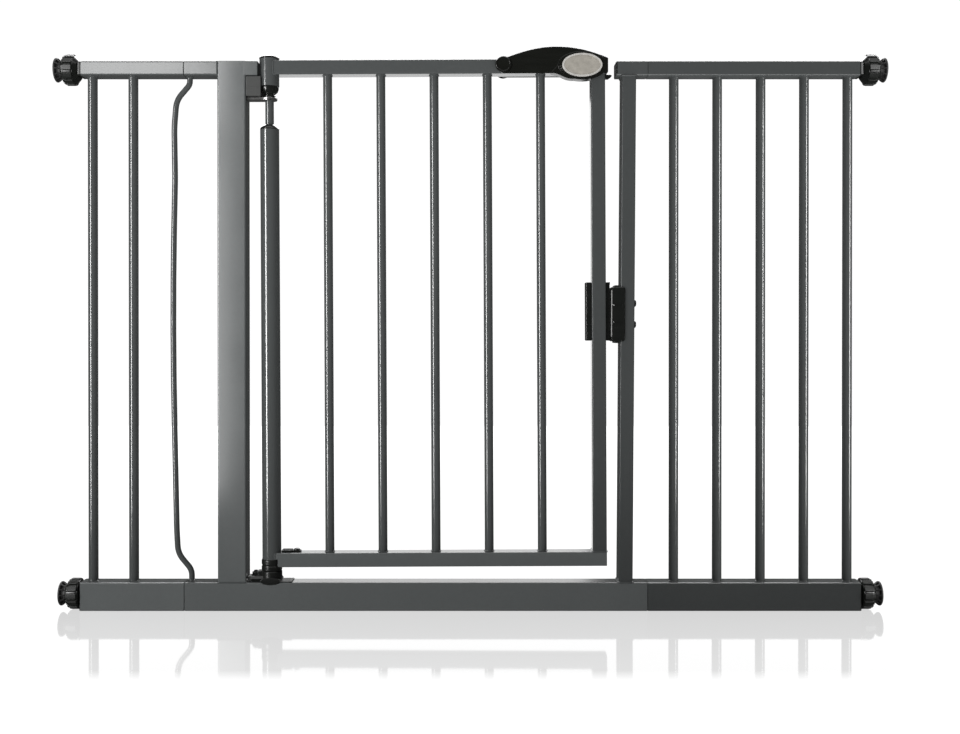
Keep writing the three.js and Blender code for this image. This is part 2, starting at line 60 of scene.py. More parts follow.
MM = 0.001
WORLD = Matrix.Identity(4)


# ---------------------------------------------------------------- what the frame says
BODY_OF = {
    node: body
    for body, nodes in frame["record"]["behaviour"]["bodies"].items()
    for node in nodes
}


def joint(name):
    """A joint's entry in the record."""
    return next(entry for entry in frame["joints"] if entry["name"] == name)


def upright(foot, axis):
    """The frame that stands local +Z along an axis through a foot point, turned about Y only."""
    lean = math.atan2(axis[0], axis[2])
    return Matrix.Translation(foot) @ Matrix.Rotation(lean, 4, "Y")


def extent(node, place=WORLD):
    """Lowest and highest corner of a node, measured in the frame that place carries to the row."""
    back = place.inverted()
    points = [back @ vertex.co for vertex in frame["nodes"][node].data.vertices]
    low = Vector(min(point[axis] for point in points) for axis in range(3))
    high = Vector(max(point[axis] for point in points) for axis in range(3))
    return low, high


def leaning(node):
    """The upright frame of a leaning tube, read from the middles of its two ends."""
    points = [vertex.co for vertex in frame["nodes"][node].data.vertices]
    bottom, top = min(p.z for p in points), max(p.z for p in points)

    def middle(height):
        row = [p.x for p in points if abs(p.z - height) < MM]
        return Vector(((min(row) + max(row)) / 2, 0, height))

    foot = middle(bottom)
    return upright(foot, middle(top) - foot)


def centre_line(node, levels):
    """The middle of an upright bar's section at each of some heights."""
    mesh = frame["nodes"][node].data
    points = [vertex.co for vertex in mesh.vertices]
    edges = [(points[a], points[b]) for a, b in (edge.vertices for edge in mesh.edges)]
    line = []
    for level in levels:
        crossings = [
            low.lerp(high, (level - low.z) / (high.z - low.z)).x
            for low, high in edges
            if (low.z - level) * (high.z - level) < 0
        ]
        line.append(Vector(((min(crossings) + max(crossings)) / 2, 0, level)))
    return line


SWING = joint("leaf_swing")
HINGE = upright(SWING["pos_m"], SWING["axis"])
POST = leaning("right_post")
LEVELS = ("upper", "lower")
SIDES = {"left": -1, "right": 1}


def mount_place(level, side):
    """The frame of a wall mount: local +Z points at the wall along the spindle."""
    height = joint(f"{level}_{side}_wheel_spin")["pos_m"][2]
    turn = Matrix.Rotation(SIDES[side] * math.pi / 2, 4, "Y")
    return Matrix.Translation((0, 0, height)) @ turn


# ---------------------------------------------------------------- outlines and profiles
AXES = {
    "x": lambda u, v, along: Vector((along, u, v)),
    "y": lambda u, v, along: Vector((u, along, v)),
    "z": lambda u, v, along: Vector((u, v, along)),
}


def rounded(width, height, radius, steps=5):
    """A rectangle with round corners about the origin, anticlockwise."""
    points = []
    corners = ((1, 1), (-1, 1), (-1, -1), (1, -1))
    for quarter, (right, up) in enumerate(corners):
        for step in range(steps + 1):
            turn = (quarter + step / steps) * math.pi / 2
            u = right * (width / 2 - radius) + radius * math.cos(turn)
            v = up * (height / 2 - radius) + radius * math.sin(turn)
            points.append((u, v))
    return points


def ellipse(half_width, half_height, centre=(0, 0), steps=72):
    """An ellipse's points, anticlockwise."""
    turns = [2 * math.pi * step / steps for step in range(steps)]
    return [
        (centre[0] + half_width * math.cos(turn), centre[1] + half_height * math.sin(turn))
        for turn in turns
    ]


def moved(outline, du, dv):
    """An outline shifted in its own plane."""
    return [(u + du, v + dv) for u, v in outline]


def bezier(start, first, second, end, steps=14):
    """Points along a cubic curve, its start left out."""
    points = []
    for step in range(1, steps + 1):
        t = step / steps
        weights = ((1 - t) ** 3, 3 * t * (1 - t) ** 2, 3 * t * t * (1 - t), t ** 3)
        ends = (start, first, second, end)
        points.append(tuple(sum(w * p[i] for w, p in zip(weights, ends)) for i in (0, 1)))
    return points


def eased(points, radius, closed=False, steps=3):
    """Rounds the corners of a profile, or of a closed outline."""
    corners = [Vector(point) for point in points]
    result = []
    for index, corner in enumerate(corners):
        if not closed and index in (0, len(corners) - 1):
            result.append(tuple(corner))
            continue
        before = corners[index - 1] - corner
        after = corners[(index + 1) % len(corners)] - corner
        reach = min(radius, before.length * 0.49, after.length * 0.49)
        start = corner + before.normalized() * reach
        end = corner + after.normalized() * reach
        for step in range(steps + 1):
            t = step / steps
            bend = start * (1 - t) ** 2 + corner * 2 * t * (1 - t) + end * t * t
            result.append(tuple(bend))
    return result


def inset(outline, distance):
    """Moves a closed outline inwards, along the bisector at each of its points."""
    points = [Vector(point) for point in outline]
    following = points[1:] + points[:1]
    area = sum(a.x * b.y - a.y * b.x for a, b in zip(points, following))
    inwards = 1 if area > 0 else -1
    moved_points = []
    for before, point, after in zip(points[-1:] + points[:-1], points, following):
        arrive = (point - before).normalized()
        leave = (after - point).normalized()
        normals = Vector((-arrive.y, arrive.x)), Vector((-leave.y, leave.x))
        share = max(1 + normals[0].dot(normals[1]), 0.5)
        moved_points.append(tuple(point + (normals[0] + normals[1]) * inwards * distance / share))
    return moved_points


# ---------------------------------------------------------------- mesh makers
def skinned(loops, ring=False):
    """Joins equal loops of points with quads; a ring joins its last loop to its first."""
    bm = bmesh.new()
    rows = [[bm.verts.new(point) for point in loop] for loop in loops]
    following = rows[1:] + rows[:1] if ring else rows[1:]
    for lower, upper in zip(rows, following):
        for index in range(len(lower)):
            after = (index + 1) % len(lower)
            bm.faces.new((lower[index], lower[after], upper[after], upper[index]))
    if not ring:
        bm.faces.new(reversed(rows[0]))
        bm.faces.new(rows[-1])
    return bm


def turned(profile, ring=False, steps=56):
    """A solid of revolution about Z from [radius, height] pairs; a ring is hollow."""
    turns = [2 * math.pi * step / steps for step in range(steps)]
    loops = [
        [(radius * math.cos(turn), radius * math.sin(turn), height) for turn in turns]
        for radius, height in profile
        if radius > 0
    ]
    return skinned(loops, ring)


def slab(outline, axis, start, end, edge=0.0, steps=4):
    """A plate of an outline along an axis, with both its rims rounded."""
    place = AXES[axis]
    quarter = [math.pi / 2 * step / steps for step in range(steps + 1)]
    levels = [(1 - math.sin(turn), start + edge * (1 - math.cos(turn))) for turn in quarter]
    levels += [(1 - math.sin(turn), end - edge * (1 - math.cos(turn))) for turn in quarter[::-1]]
    if not edge:
        levels = [(0, start), (0, end)]
    loops = []
    for share, along in levels:
        level = inset(outline, edge * share) if edge * share else outline
        loops.append([place(u, v, along) for u, v in level])
    return skinned(loops)


def rounded_slab(size, corner, centre, axis, start, end, edge=0.0, steps=4):
    """A plate of a rectangle with round corners, about a centre."""
    return slab(moved(rounded(*size, corner), *centre), axis, start, end, edge, steps)


def collar(outer, inner, axis, start, end, edge):
    """A hollow plate between two outlines of equally many points, its outer rims rounded."""
    place = AXES[axis]
    levels = [
        (inset(outer, edge), start), (outer, start + edge), (outer, end - edge),
        (inset(outer, edge), end), (inner, end), (inner, start),
    ]
    return skinned([[place(u, v, at) for u, v in loop] for loop, at in levels], ring=True)


def block(low, high):
    """A plain cuboid, to be joined, cut or bevelled."""
    bm = bmesh.new()
    size = Vector(high) - Vector(low)
    bmesh.ops.create_cube(bm, size=1)
    bmesh.ops.scale(bm, vec=size, verts=bm.verts)
    bmesh.ops.translate(bm, vec=(Vector(low) + Vector(high)) / 2, verts=bm.verts)
    return bm


def shifted(bm, matrix):
    """Moves a bmesh by a matrix."""
    bmesh.ops.transform(bm, matrix=matrix, verts=bm.verts)
    return bm


def together(*parts):
    """Several bmeshes as one."""
    whole = parts[0]
    for bm in parts[1:]:
        spare = bpy.data.meshes.new("spare")
        bm.to_mesh(spare)
        bm.free()
        whole.from_mesh(spare)
        bpy.data.meshes.remove(spare)
    return whole


def linked(name, data):
    """A new object of the scene, made round its data."""
    entry = bpy.data.objects.new(name, data)
    bpy.context.scene.collection.objects.link(entry)
    return entry


def set_solid(name, bm, look=None, place=WORLD):
    """Makes a bmesh an object at the origin, with its place in its mesh."""
    bmesh.ops.remove_doubles(bm, verts=bm.verts, dist=1e-7)
    bmesh.ops.recalc_face_normals(bm, faces=bm.faces)
    shifted(bm, place)
    mesh = bpy.data.meshes.new(name)
    bm.to_mesh(mesh)
    bm.free()
    if look:
        mesh.materials.append(finish(look))
    return linked(name, mesh)


def settle(piece):
    """Replaces a piece's mesh with what its modifiers make of it."""
    seen = piece.evaluated_get(bpy.context.evaluated_depsgraph_get())
    mesh = bpy.data.meshes.new_from_object(seen)
    piece.modifiers.clear()
    old = piece.data
    piece.data = mesh
    bpy.data.meshes.remove(old)
    mesh.name = piece.name
    return piece


def carved(piece, *cutters):
    """Cuts away each cutter from a piece."""
    for bm in cutters:
        tool = set_solid("cutter", bm)
        cut = piece.modifiers.new("cut", "BOOLEAN")
        cut.operation = "DIFFERENCE"
        cut.solver = "EXACT"
        cut.object = tool
        settle(piece)
        bpy.data.objects.remove(tool)
    return piece


def dressed(piece, edge=0.0, steps=3, sharp=38):
    """Breaks a piece's hard edges with a small round, then shades it."""
    if edge:
        bevel = piece.modifiers.new("edge", "BEVEL")
        bevel.width = edge
        bevel.segments = steps
        bevel.limit_method = "ANGLE"
        bevel.angle_limit = math.radians(sharp)
        settle(piece)
    bm = bmesh.new()
    bm.from_mesh(piece.data)
    bmesh.ops.recalc_face_normals(bm, faces=bm.faces)
    for face in bm.faces:
        face.smooth = True
    for side in bm.edges:
        side.smooth = len(side.link_faces) == 2 and side.calc_face_angle() < math.radians(sharp)
    bm.to_mesh(piece.data)
    bm.free()
    weigh = piece.modifiers.new("normals", "WEIGHTED_NORMAL")
    weigh.keep_sharp = True
    return settle(piece)


def softened(node, look, edge):
    """A copy of a node's shape, its coplanar faces merged and its edges rounded."""
    bm = bmesh.new()
    bm.from_mesh(frame["nodes"][node].data)
    bmesh.ops.remove_doubles(bm, verts=bm.verts, dist=1e-5)
    bmesh.ops.dissolve_limit(
        bm, angle_limit=math.radians(1), verts=bm.verts, edges=bm.edges, delimit=set()
    )
    return dressed(set_solid(f"{node}_finished", bm, look), edge)


def added(piece, node):
    """Hangs a finished piece on the body that a node belongs to."""
    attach(piece, BODY_OF[node])
    return piece


def fitted(piece, slot, *nodes):
    """Hangs a finished piece on its body and lets it stand for some nodes."""
    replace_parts(added(piece, nodes[0]), *nodes)
    return piece


# ---------------------------------------------------------------- node trees
GEOMETRY, FLOAT, INTEGER = "NodeSocketGeometry", "NodeSocketFloat", "NodeSocketInt"
VECTOR, COLOUR, MATERIAL = "NodeSocketVector", "NodeSocketColor", "NodeSocketMaterial"


class Graph:
    """Places nodes in a tree and wires each one's inputs as it is placed."""

    def __init__(self, tree):
        self.tree = tree

    def add(self, kind, inputs=None, **settings):
        node = self.tree.nodes.new(kind)
        node.location = (190 * len(self.tree.nodes), 0)
        for key, value in settings.items():
            setattr(node, key, value)
        for key, value in (inputs or {}).items():
            values = value if isinstance(value, list) else [value]
            for entry in values:
                if isinstance(entry, bpy.types.NodeSocket):
                    self.tree.links.new(entry, node.inputs[key])
                else:
                    node.inputs[key].default_value = entry
        return node

    def math(self, operation, *values):
        node = self.add("ShaderNodeMath", dict(enumerate(values)), operation=operation)
        return node.outputs[0]

    def vector(self, x=0.0, y=0.0, z=0.0):
        return self.add("ShaderNodeCombineXYZ", {"X": x, "Y": y, "Z": z}).outputs[0]


def group(name, kind, inputs, outputs):
    """An empty node group with named sockets, its graph, and the ends to wire to."""
    tree = bpy.data.node_groups.new(name, kind)
    for label, socket_type in inputs.items():
        tree.interface.new_socket(name=label, in_out="INPUT", socket_type=socket_type)
    for label, socket_type in outputs.items():
        tree.interface.new_socket(name=label, in_out="OUTPUT", socket_type=socket_type)
    graph = Graph(tree)
    given = graph.add("NodeGroupInput").outputs
    return graph, given


def grower(name, inputs):
    """A geometry node tree that takes some values and gives one geometry."""
    sockets = {"Geometry": GEOMETRY, **inputs, "Material": MATERIAL}
    return group(name, "GeometryNodeTree", sockets, {"Geometry": GEOMETRY})


def close_grower(graph, given, geometry):
    """Ends a tree with real geometry, smooth and in its material."""
    real = graph.add("GeometryNodeRealizeInstances", {"Geometry": geometry})
    smooth = graph.add("GeometryNodeSetShadeSmooth", {"Geometry": real.outputs[0]})
    finish = graph.add(
        "GeometryNodeSetMaterial", {"Geometry": smooth.outputs[0], "Material": given["Material"]}
    )
    graph.add("NodeGroupOutput", {"Geometry": finish.outputs[0]})
    return graph.tree


def copies(graph, points, instance, rotation=None):
    inputs = {"Points": points, "Instance": instance}
    if rotation:
        inputs["Rotation"] = rotation
    return graph.add("GeometryNodeInstanceOnPoints", inputs).outputs[0]


def lumpy_sweep(graph, curve, phase, radius, ripple, sides):
    """Sweeps a round section whose size ripples along the curve."""
    swell = graph.math("ADD", graph.math("MULTIPLY", graph.math("SINE", phase), ripple), 1.0)
    sized = graph.add("GeometryNodeSetCurveRadius", {"Curve": curve, "Radius": swell})
    section = graph.add(
        "GeometryNodeCurvePrimitiveCircle", {"Resolution": sides, "Radius": radius}
    )
    swept = graph.add(
        "GeometryNodeCurveToMesh",
        {"Curve": sized.outputs[0], "Profile Curve": section.outputs[0], "Fill Caps": True},
    )
    return swept.outputs[0]


def bar_row_tree():
    """A row of equal round bars standing on a rail, a weld bead round both ends of each."""
    graph, given = grower(
        "Welded bar row",
        {"Count": INTEGER, "Pitch": FLOAT, "Radius": FLOAT, "Length": FLOAT, "Bead": FLOAT},
    )
    size = {"Vertices": 40, "Radius": given["Radius"], "Depth": given["Length"]}
    bar = graph.add("GeometryNodeMeshCylinder", size).outputs["Mesh"]
    rise = graph.vector(z=graph.math("MULTIPLY", given["Length"], 0.5))
    standing = graph.add("GeometryNodeTransform", {"Geometry": bar, "Translation": rise})
    round_bar = graph.add(
        "GeometryNodeCurvePrimitiveCircle", {"Resolution": 48, "Radius": given["Radius"]}
    )
    index = graph.add("GeometryNodeInputIndex").outputs[0]
    phase = graph.math("MULTIPLY", index, 2 * math.pi / 4)
    bead = lumpy_sweep(graph, round_bar.outputs[0], phase, given["Bead"], 0.16, 8)
    top = graph.vector(z=given["Length"])
    upper = graph.add("GeometryNodeTransform", {"Geometry": bead, "Translation": top})
    parts = [standing.outputs[0], bead, upper.outputs[0]]
    one = graph.add("GeometryNodeJoinGeometry", {"Geometry": parts})
    stride = graph.vector(x=given["Pitch"])
    row = graph.add(
        "GeometryNodeMeshLine", {"Count": given["Count"], "Offset": stride}, mode="OFFSET"
    )
    return close_grower(graph, given, copies(graph, row.outputs[0], one.outputs[0]))


def sweep_tree():
    """A round section swept along the edges of a mesh, with a ripple for a weld bead."""
    graph, given = grower(
        "Swept wire",
        {"Radius": FLOAT, "Sides": INTEGER, "Step": FLOAT, "Ripple": FLOAT, "Wave": FLOAT},
    )
    curve = graph.add("GeometryNodeMeshToCurve", {"Mesh": given["Geometry"]}).outputs[0]
    even = graph.add(
        "GeometryNodeResampleCurve", {"Curve": curve, "Length": given["Step"]}, mode="LENGTH"
    )
    along = graph.add("GeometryNodeSplineParameter").outputs["Length"]
    phase = graph.math("MULTIPLY", graph.math("DIVIDE", along, given["Wave"]), 2 * math.pi)
    swept = lumpy_sweep(
        graph, even.outputs[0], phase, given["Radius"], given["Ripple"], given["Sides"]
    )
    return close_grower(graph, given, swept)


def ring_tree():
    """Copies of one small piece set evenly round Z."""
    graph, given = grower("Ring of copies", {"Count": INTEGER})
    points = graph.add("GeometryNodePoints", {"Count": given["Count"]}).outputs[0]
    index = graph.add("GeometryNodeInputIndex").outputs[0]
    turn = graph.math("DIVIDE", graph.math("MULTIPLY", index, 2 * math.pi), given["Count"])
    ring = copies(graph, points, given["Geometry"], graph.vector(z=turn))
    return close_grower(graph, given, ring)


def row_tree():
    """Copies of one small piece set at even steps."""
    graph, given = grower("Row of copies", {"Count": INTEGER, "Stride": VECTOR})
    line = {"Count": given["Count"], "Offset": given["Stride"]}
    points = graph.add("GeometryNodeMeshLine", line, mode="OFFSET").outputs[0]
    return close_grower(graph, given, copies(graph, points, given["Geometry"]))


def coil_tree():
    """A round wire wound on Z."""
    graph, given = grower(
        "Wound wire", {"Turns": FLOAT, "Coil": FLOAT, "Height": FLOAT, "Wire": FLOAT}
    )
    spiral = graph.add(
        "GeometryNodeCurveSpiral",
        {
            "Resolution": 28, "Rotations": given["Turns"], "Start Radius": given["Coil"],
            "End Radius": given["Coil"], "Height": given["Height"],
        },
    )
    wire = lumpy_sweep(graph, spiral.outputs[0], 0.0, given["Wire"], 0.0, 12)
    return close_grower(graph, given, wire)


TREES = {
    "bar_row": bar_row_tree, "sweep": sweep_tree, "ring": ring_tree,
    "row": row_tree, "coil": coil_tree,
}
made = {}


def shared(table, key):
    """A tree, group or material of a table, made the first time it is asked for."""
    if key not in made:
        made[key] = table[key]()
    return made[key]


def grown(name, key, look, start=None, place=WORLD, **values):
    """Runs a geometry node tree over a starting mesh and keeps the plain mesh it makes."""
    mesh = bpy.data.meshes.new(name)
    if start:
        start.to_mesh(mesh)
        start.free()
    piece = linked(name, mesh)
    tree = shared(TREES, key)
    modifier = piece.modifiers.new(tree.name, "NODES")
    modifier.node_group = tree
    values["Material"] = finish(look)
    for item in tree.interface.items_tree:
        if item.in_out == "INPUT" and item.name in values:
            modifier[item.identifier] = values[item.name]
    settle(piece)
    piece.data.transform(place)
    return dressed(piece)


def paths(*lines, closed=True):
    """Lines of points as the edges of one mesh."""
    bm = bmesh.new()
    for line in lines:
        verts = [bm.verts.new(point) for point in line]
        for start, end in zip(verts, verts[1:] + (verts[:1] if closed else [])):
            bm.edges.new((start, end))
    return bm


# ---------------------------------------------------------------- shared effects for finishes
SHADER = "ShaderNodeTree"


def noise(graph, vector, scale, detail=2.0, roughness=0.5):
    inputs = {"Vector": vector, "Scale": scale, "Detail": detail, "Roughness": roughness}
    return graph.add("ShaderNodeTexNoise", inputs).outputs["Fac"]


def spread(graph, value, low, high, to_low=0.0, to_high=1.0):
    """Stretches a range of values over another."""
    inputs = {0: value, 1: low, 2: high, 3: to_low, 4: to_high}
    return graph.add("ShaderNodeMapRange", inputs).outputs[0]


def tinted(graph, colour, factor):
    inputs = {0: colour, "Scale": factor}
    return graph.add("ShaderNodeVectorMath", inputs, operation="SCALE").outputs[0]


def mixed(graph, factor, colour, other):
    inputs = {0: factor, 6: colour, 7: other}
    return graph.add("ShaderNodeMix", inputs, data_type="RGBA").outputs[2]


def coated_skin_group():
    """Powder coat: the orange peel of the cured film, a fine speckle and a slow drift of gloss."""
    graph, given = group(
        "Coated skin", SHADER,
        {"Vector": VECTOR, "Colour": COLOUR, "Roughness": FLOAT, "Peel": FLOAT, "Speckle": FLOAT},
        {"Colour": COLOUR, "Roughness": FLOAT, "Height": FLOAT},
    )
    peel = noise(graph, given["Vector"], given["Peel"], 1.5, 0.4)
    speck = noise(graph, given["Vector"], graph.math("MULTIPLY", given["Peel"], 6.0), 1.0)
    drift = noise(graph, given["Vector"], 9.0, 3.0)
    tone = graph.math("MULTIPLY", spread(graph, speck, 0.3, 0.7, -1.0, 1.0), given["Speckle"])
    slow = spread(graph, drift, 0.3, 0.7, 0.97, 1.03)
    shade = graph.math("MULTIPLY", graph.math("ADD", tone, 1.0), slow)
    colour = tinted(graph, given["Colour"], shade)
    gloss = spread(graph, drift, 0.3, 0.7, -0.025, 0.025)
    graph.add(
        "NodeGroupOutput",
        {
            "Colour": colour, "Height": peel,
            "Roughness": graph.math("ADD", given["Roughness"], gloss),
        },
    )
    return graph.tree


def moulded_skin_group():
    """Moulded plastic: a spark-eroded grain, faint flow lines and a slightly uneven sheen."""
    graph, given = group(
        "Moulded skin", SHADER,
        {"Vector": VECTOR, "Colour": COLOUR, "Roughness": FLOAT, "Grain": FLOAT},
        {"Colour": COLOUR, "Roughness": FLOAT, "Height": FLOAT},
    )
    cells = graph.add(
        "ShaderNodeTexVoronoi", {"Vector": given["Vector"], "Scale": given["Grain"]}
    ).outputs["Distance"]
    fine = noise(graph, given["Vector"], graph.math("MULTIPLY", given["Grain"], 2.3), 2.0)
    flow = graph.add(
        "ShaderNodeMapping", {"Vector": given["Vector"], "Scale": (14.0, 60.0, 140.0)}
    ).outputs[0]
    streak = noise(graph, flow, 1.0, 3.0)
    share = 0.6
    height = graph.math(
        "ADD", graph.math("MULTIPLY", cells, share), graph.math("MULTIPLY", fine, share)
    )
    sheen = graph.math("ADD", given["Roughness"], spread(graph, streak, 0.3, 0.7, -0.04, 0.05))
    colour = tinted(graph, given["Colour"], spread(graph, streak, 0.25, 0.75, 0.88, 1.15))
    graph.add("NodeGroupOutput", {"Colour": colour, "Roughness": sheen, "Height": height})
    return graph.tree


def handling_group():
    """Where hands and cloths have passed: a sparse mask of smears."""
    graph, given = group("Handling marks", SHADER, {"Vector": VECTOR}, {"Mask": FLOAT})
    smear = graph.add(
        "ShaderNodeMapping", {"Vector": given["Vector"], "Scale": (11.0, 17.0, 5.0)}
    ).outputs[0]
    broad = spread(graph, noise(graph, smear, 1.0, 4.0, 0.6), 0.5, 0.72)
    fine = spread(graph, noise(graph, smear, 22.0, 2.0), 0.35, 0.65)
    graph.add("NodeGroupOutput", {"Mask": graph.math("MULTIPLY", broad, fine)})
    return graph.tree


def dust_group():
    """A thin settling of dust on whatever faces up."""
    graph, given = group("Settled dust", SHADER, {"Vector": VECTOR}, {"Mask": FLOAT})
    normal = graph.add("ShaderNodeNewGeometry").outputs["Normal"]
    upness = graph.add("ShaderNodeSeparateXYZ", {0: normal}).outputs["Z"]
    facing = spread(graph, upness, 0.55, 1.0)
    patch = spread(graph, noise(graph, given["Vector"], 60.0, 4.0, 0.6), 0.3, 0.75)
    graph.add("NodeGroupOutput", {"Mask": graph.math("MULTIPLY", facing, patch)})
    return graph.tree


def rubbed_edge_highlight_group():
    """Edges and corners that stand proud, where a finish wears first from rubbing; their paler colour is partly
    that wear and partly a painted highlight.
    """
    graph, given = group("Rubbed edges and painted highlight", SHADER, {"Vector": VECTOR}, {"Mask": FLOAT})
    proud = graph.add("ShaderNodeNewGeometry").outputs["Pointiness"]
    rise = spread(graph, proud, 0.52, 0.62)
    broken = spread(graph, noise(graph, given["Vector"], 180.0, 3.0), 0.35, 0.65)
    graph.add("NodeGroupOutput", {"Mask": graph.math("MULTIPLY", rise, broken)})
    return graph.tree


def drawn_metal_group():
    """Drawn or plated steel: fine lines along the work and a soft mottle of plating."""
    graph, given = group(
        "Drawn metal", SHADER,
        {"Vector": VECTOR, "Colour": COLOUR, "Roughness": FLOAT},
        {"Colour": COLOUR, "Roughness": FLOAT, "Height": FLOAT},
    )
    lines = graph.add(
        "ShaderNodeMapping", {"Vector": given["Vector"], "Scale": (40.0, 2600.0, 2600.0)}
    ).outputs[0]
    grain = noise(graph, lines, 1.0, 2.0)
    mottle = noise(graph, given["Vector"], 130.0, 3.0)
    graph.add(
        "NodeGroupOutput",
        {
            "Colour": tinted(graph, given["Colour"], spread(graph, mottle, 0.3, 0.7, 0.86, 1.1)),
            "Roughness": graph.math(
                "ADD", given["Roughness"], spread(graph, grain, 0.3, 0.7, -0.06, 0.09)
            ),
            "Height": grain,
        },
    )
    return graph.tree


EFFECTS = {
    "coated": coated_skin_group, "moulded": moulded_skin_group, "handling": handling_group,
    "dust": dust_group, "rubbed_and_highlit": rubbed_edge_highlight_group, "drawn": drawn_metal_group,
}


def effect(graph, key, inputs):
    return graph.add("ShaderNodeGroup", inputs, node_tree=shared(EFFECTS, key)).outputs


# ---------------------------------------------------------------- finishes
DUST = (0.42, 0.41, 0.39, 1.0)


def blank_material(name):
    """An empty material, its graph, and the object's own coordinates in it."""
    material = bpy.data.materials.new(name)
    material.use_nodes = True
    material.node_tree.nodes.clear()
    graph = Graph(material.node_tree)
    return material, graph, graph.add("ShaderNodeTexCoord").outputs["Object"]


def surface(name, skin, colour, roughness, extras, shader, bump, dust=0.06, marks=0.05, rub_and_highlight=0.0):
    """A Principled finish: a skin effect, then handling marks, dust and paler proud edges over it, the edges
    partly wear from rubbing and partly a painted highlight.
    """
    material, graph, where = blank_material(name)
    colour = (*colour[:3], 1.0)
    laid = effect(
        graph, skin, {"Vector": where, "Colour": colour, "Roughness": roughness, **extras}
    )
    smears = effect(graph, "handling", {"Vector": where})["Mask"]
    settled = effect(graph, "dust", {"Vector": where})["Mask"]
    worn_and_highlit = effect(graph, "rubbed_and_highlit", {"Vector": where})["Mask"]
    dusty = mixed(graph, graph.math("MULTIPLY", settled, dust), laid["Colour"], DUST)
    # Paler colour on proud edges: partly wear from rubbing, partly a painted highlight.
    pale = tuple(min(1.0, channel * 2.2 + 0.02) for channel in colour[:3]) + (1.0,)
    shown = mixed(graph, graph.math("MULTIPLY", worn_and_highlit, rub_and_highlight), dusty, pale)
    rough = graph.math("ADD", laid["Roughness"], graph.math("MULTIPLY", smears, marks))
    rough = graph.math("ADD", rough, graph.math("MULTIPLY", settled, dust * 1.5))
    relief = graph.add(
        "ShaderNodeBump",
        {"Height": laid["Height"], "Strength": bump[0], "Distance": bump[1]},
    )
    finish = graph.add(
        "ShaderNodeBsdfPrincipled",
        {"Base Color": shown, "Roughness": rough, "Normal": relief.outputs[0], **shader},
    )
    graph.add("ShaderNodeOutputMaterial", {"Surface": finish.outputs[0]})
    material.diffuse_color = colour
    return material


def looks():
    return bpy.context.scene.gate_finish


def slate_paint():
    return surface(
        "slate_paint", "coated", looks().slate, looks().slate_roughness,
        {"Peel": 620.0, "Speckle": 0.05}, {"Metallic": 0.0, "IOR": 1.55},
        (0.004, 0.00004), dust=0.03, marks=0.03, rub_and_highlight=0.04,
    )


def dark_guard():
    return surface(
        "dark_guard", "coated", looks().guard, 0.46,
        {"Peel": 900.0, "Speckle": 0.08}, {"IOR": 1.5}, (0.2, 0.0001), rub_and_highlight=0.1,
    )


def gloss_plastic():
    return surface(
        "black_plastic", "moulded", looks().plastic, 0.20, {"Grain": 1500.0},
        {"IOR": 1.5}, (0.10, 0.00006), dust=0.05, marks=0.10, rub_and_highlight=0.10,
    )


def grip_plastic():
    return surface(
        "black_grip", "moulded", looks().plastic, 0.30, {"Grain": 1100.0},
        {"IOR": 1.5}, (0.22, 0.00009), dust=0.07, marks=0.06, rub_and_highlight=0.16,
    )


def lever_plastic():
    return surface(
        "lever_plastic", "moulded", looks().lever, 0.27, {"Grain": 1300.0},
        {"IOR": 1.46}, (0.10, 0.00006), dust=0.02, marks=0.08, rub_and_highlight=0.05,
    )


def rubber():
    return surface(
        "black_rubber", "moulded", (0.016, 0.016, 0.016), 0.58, {"Grain": 700.0},
        {"IOR": 1.5}, (0.4, 0.00015), dust=0.12, rub_and_highlight=0.15,
    )


def bright_steel():
    return surface(
        "bright_steel", "drawn", (0.62, 0.62, 0.61), 0.24, {},
        {"Metallic": 1.0}, (0.15, 0.00004), dust=0.03,
    )


def spring_steel():
    return surface(
        "spring_steel", "drawn", (0.30, 0.30, 0.31), 0.34, {},
        {"Metallic": 1.0}, (0.15, 0.00004), dust=0.03,
    )


def badge_face():
    return surface(
        "badge_face", "drawn", looks().badge, 0.40, {},
        {"Metallic": 0.25, "IOR": 1.5}, (0.1, 0.00004), dust=0.02,
    )


def badge_rim():
    return surface(
        "badge_rim", "drawn", looks().rim, 0.22, {},
        {"Metallic": 0.6}, (0.08, 0.00003), dust=0.02,
    )


# Pale grey for the strip on the stop block's front edge: a painted highlight on that edge.
def bumper_highlight_strip():
    return surface(
        "bumper_highlight_strip", "moulded", looks().bumper_highlight, 0.45, {"Grain": 1200.0},
        {"IOR": 1.46}, (0.2, 0.00008), dust=0.04,
    )


FINISHES = {
    "slate": slate_paint, "guard": dark_guard, "plastic": gloss_plastic, "grip": grip_plastic,
    "lever": lever_plastic, "rubber": rubber, "steel": bright_steel, "spring": spring_steel,
    "badge": badge_face, "rim": badge_rim, "bumper_highlight": bumper_highlight_strip,
}


def finish(key):
    return shared(FINISHES, key)


# ---------------------------------------------------------------- settings a user may change
def length(name, description, default):
    return FloatProperty(
        name=name, description=description, default=default, min=0.0, unit="LENGTH", precision=5
    )


def brightness(name, description, default):
    return FloatProperty(name=name, description=description, default=default, min=0.0)


def paint(name, description, default):
    return FloatVectorProperty(
        name=name, description=description, default=default, size=3, min=0.0, max=1.0,
        subtype="COLOR",
    )


class GateFinishSettings(bpy.types.PropertyGroup):
    slate: paint("Slate paint", "Powder coat on the tubes", (0.050, 0.0535, 0.0535))
    slate_roughness: FloatProperty(
        name="Paint roughness", description="Gloss of the powder coat", default=0.15,
        min=0.05, max=1.0, subtype="FACTOR",
    )
    guard: paint("Guard", "Anti-pinch guard and lower plate", (0.040, 0.041, 0.040))
    plastic: paint("Black plastic", "Hinge, latch and wall fittings", (0.0055, 0.0062, 0.0055))
    lever: paint("Lever plastic", "Lever and its housing", (0.0042, 0.0045, 0.0036))
    badge: paint("Badge", "Face of the oval badge", (0.31, 0.292, 0.258))
    rim: paint("Badge rim", "Raised rim of the badge", (0.78, 0.76, 0.72))
    # Pale grey of the stop block's edge strip, a painted highlight.
    bumper_highlight: paint("Bumper highlight", "Quiet strip on the stop block", (0.22, 0.22, 0.215))


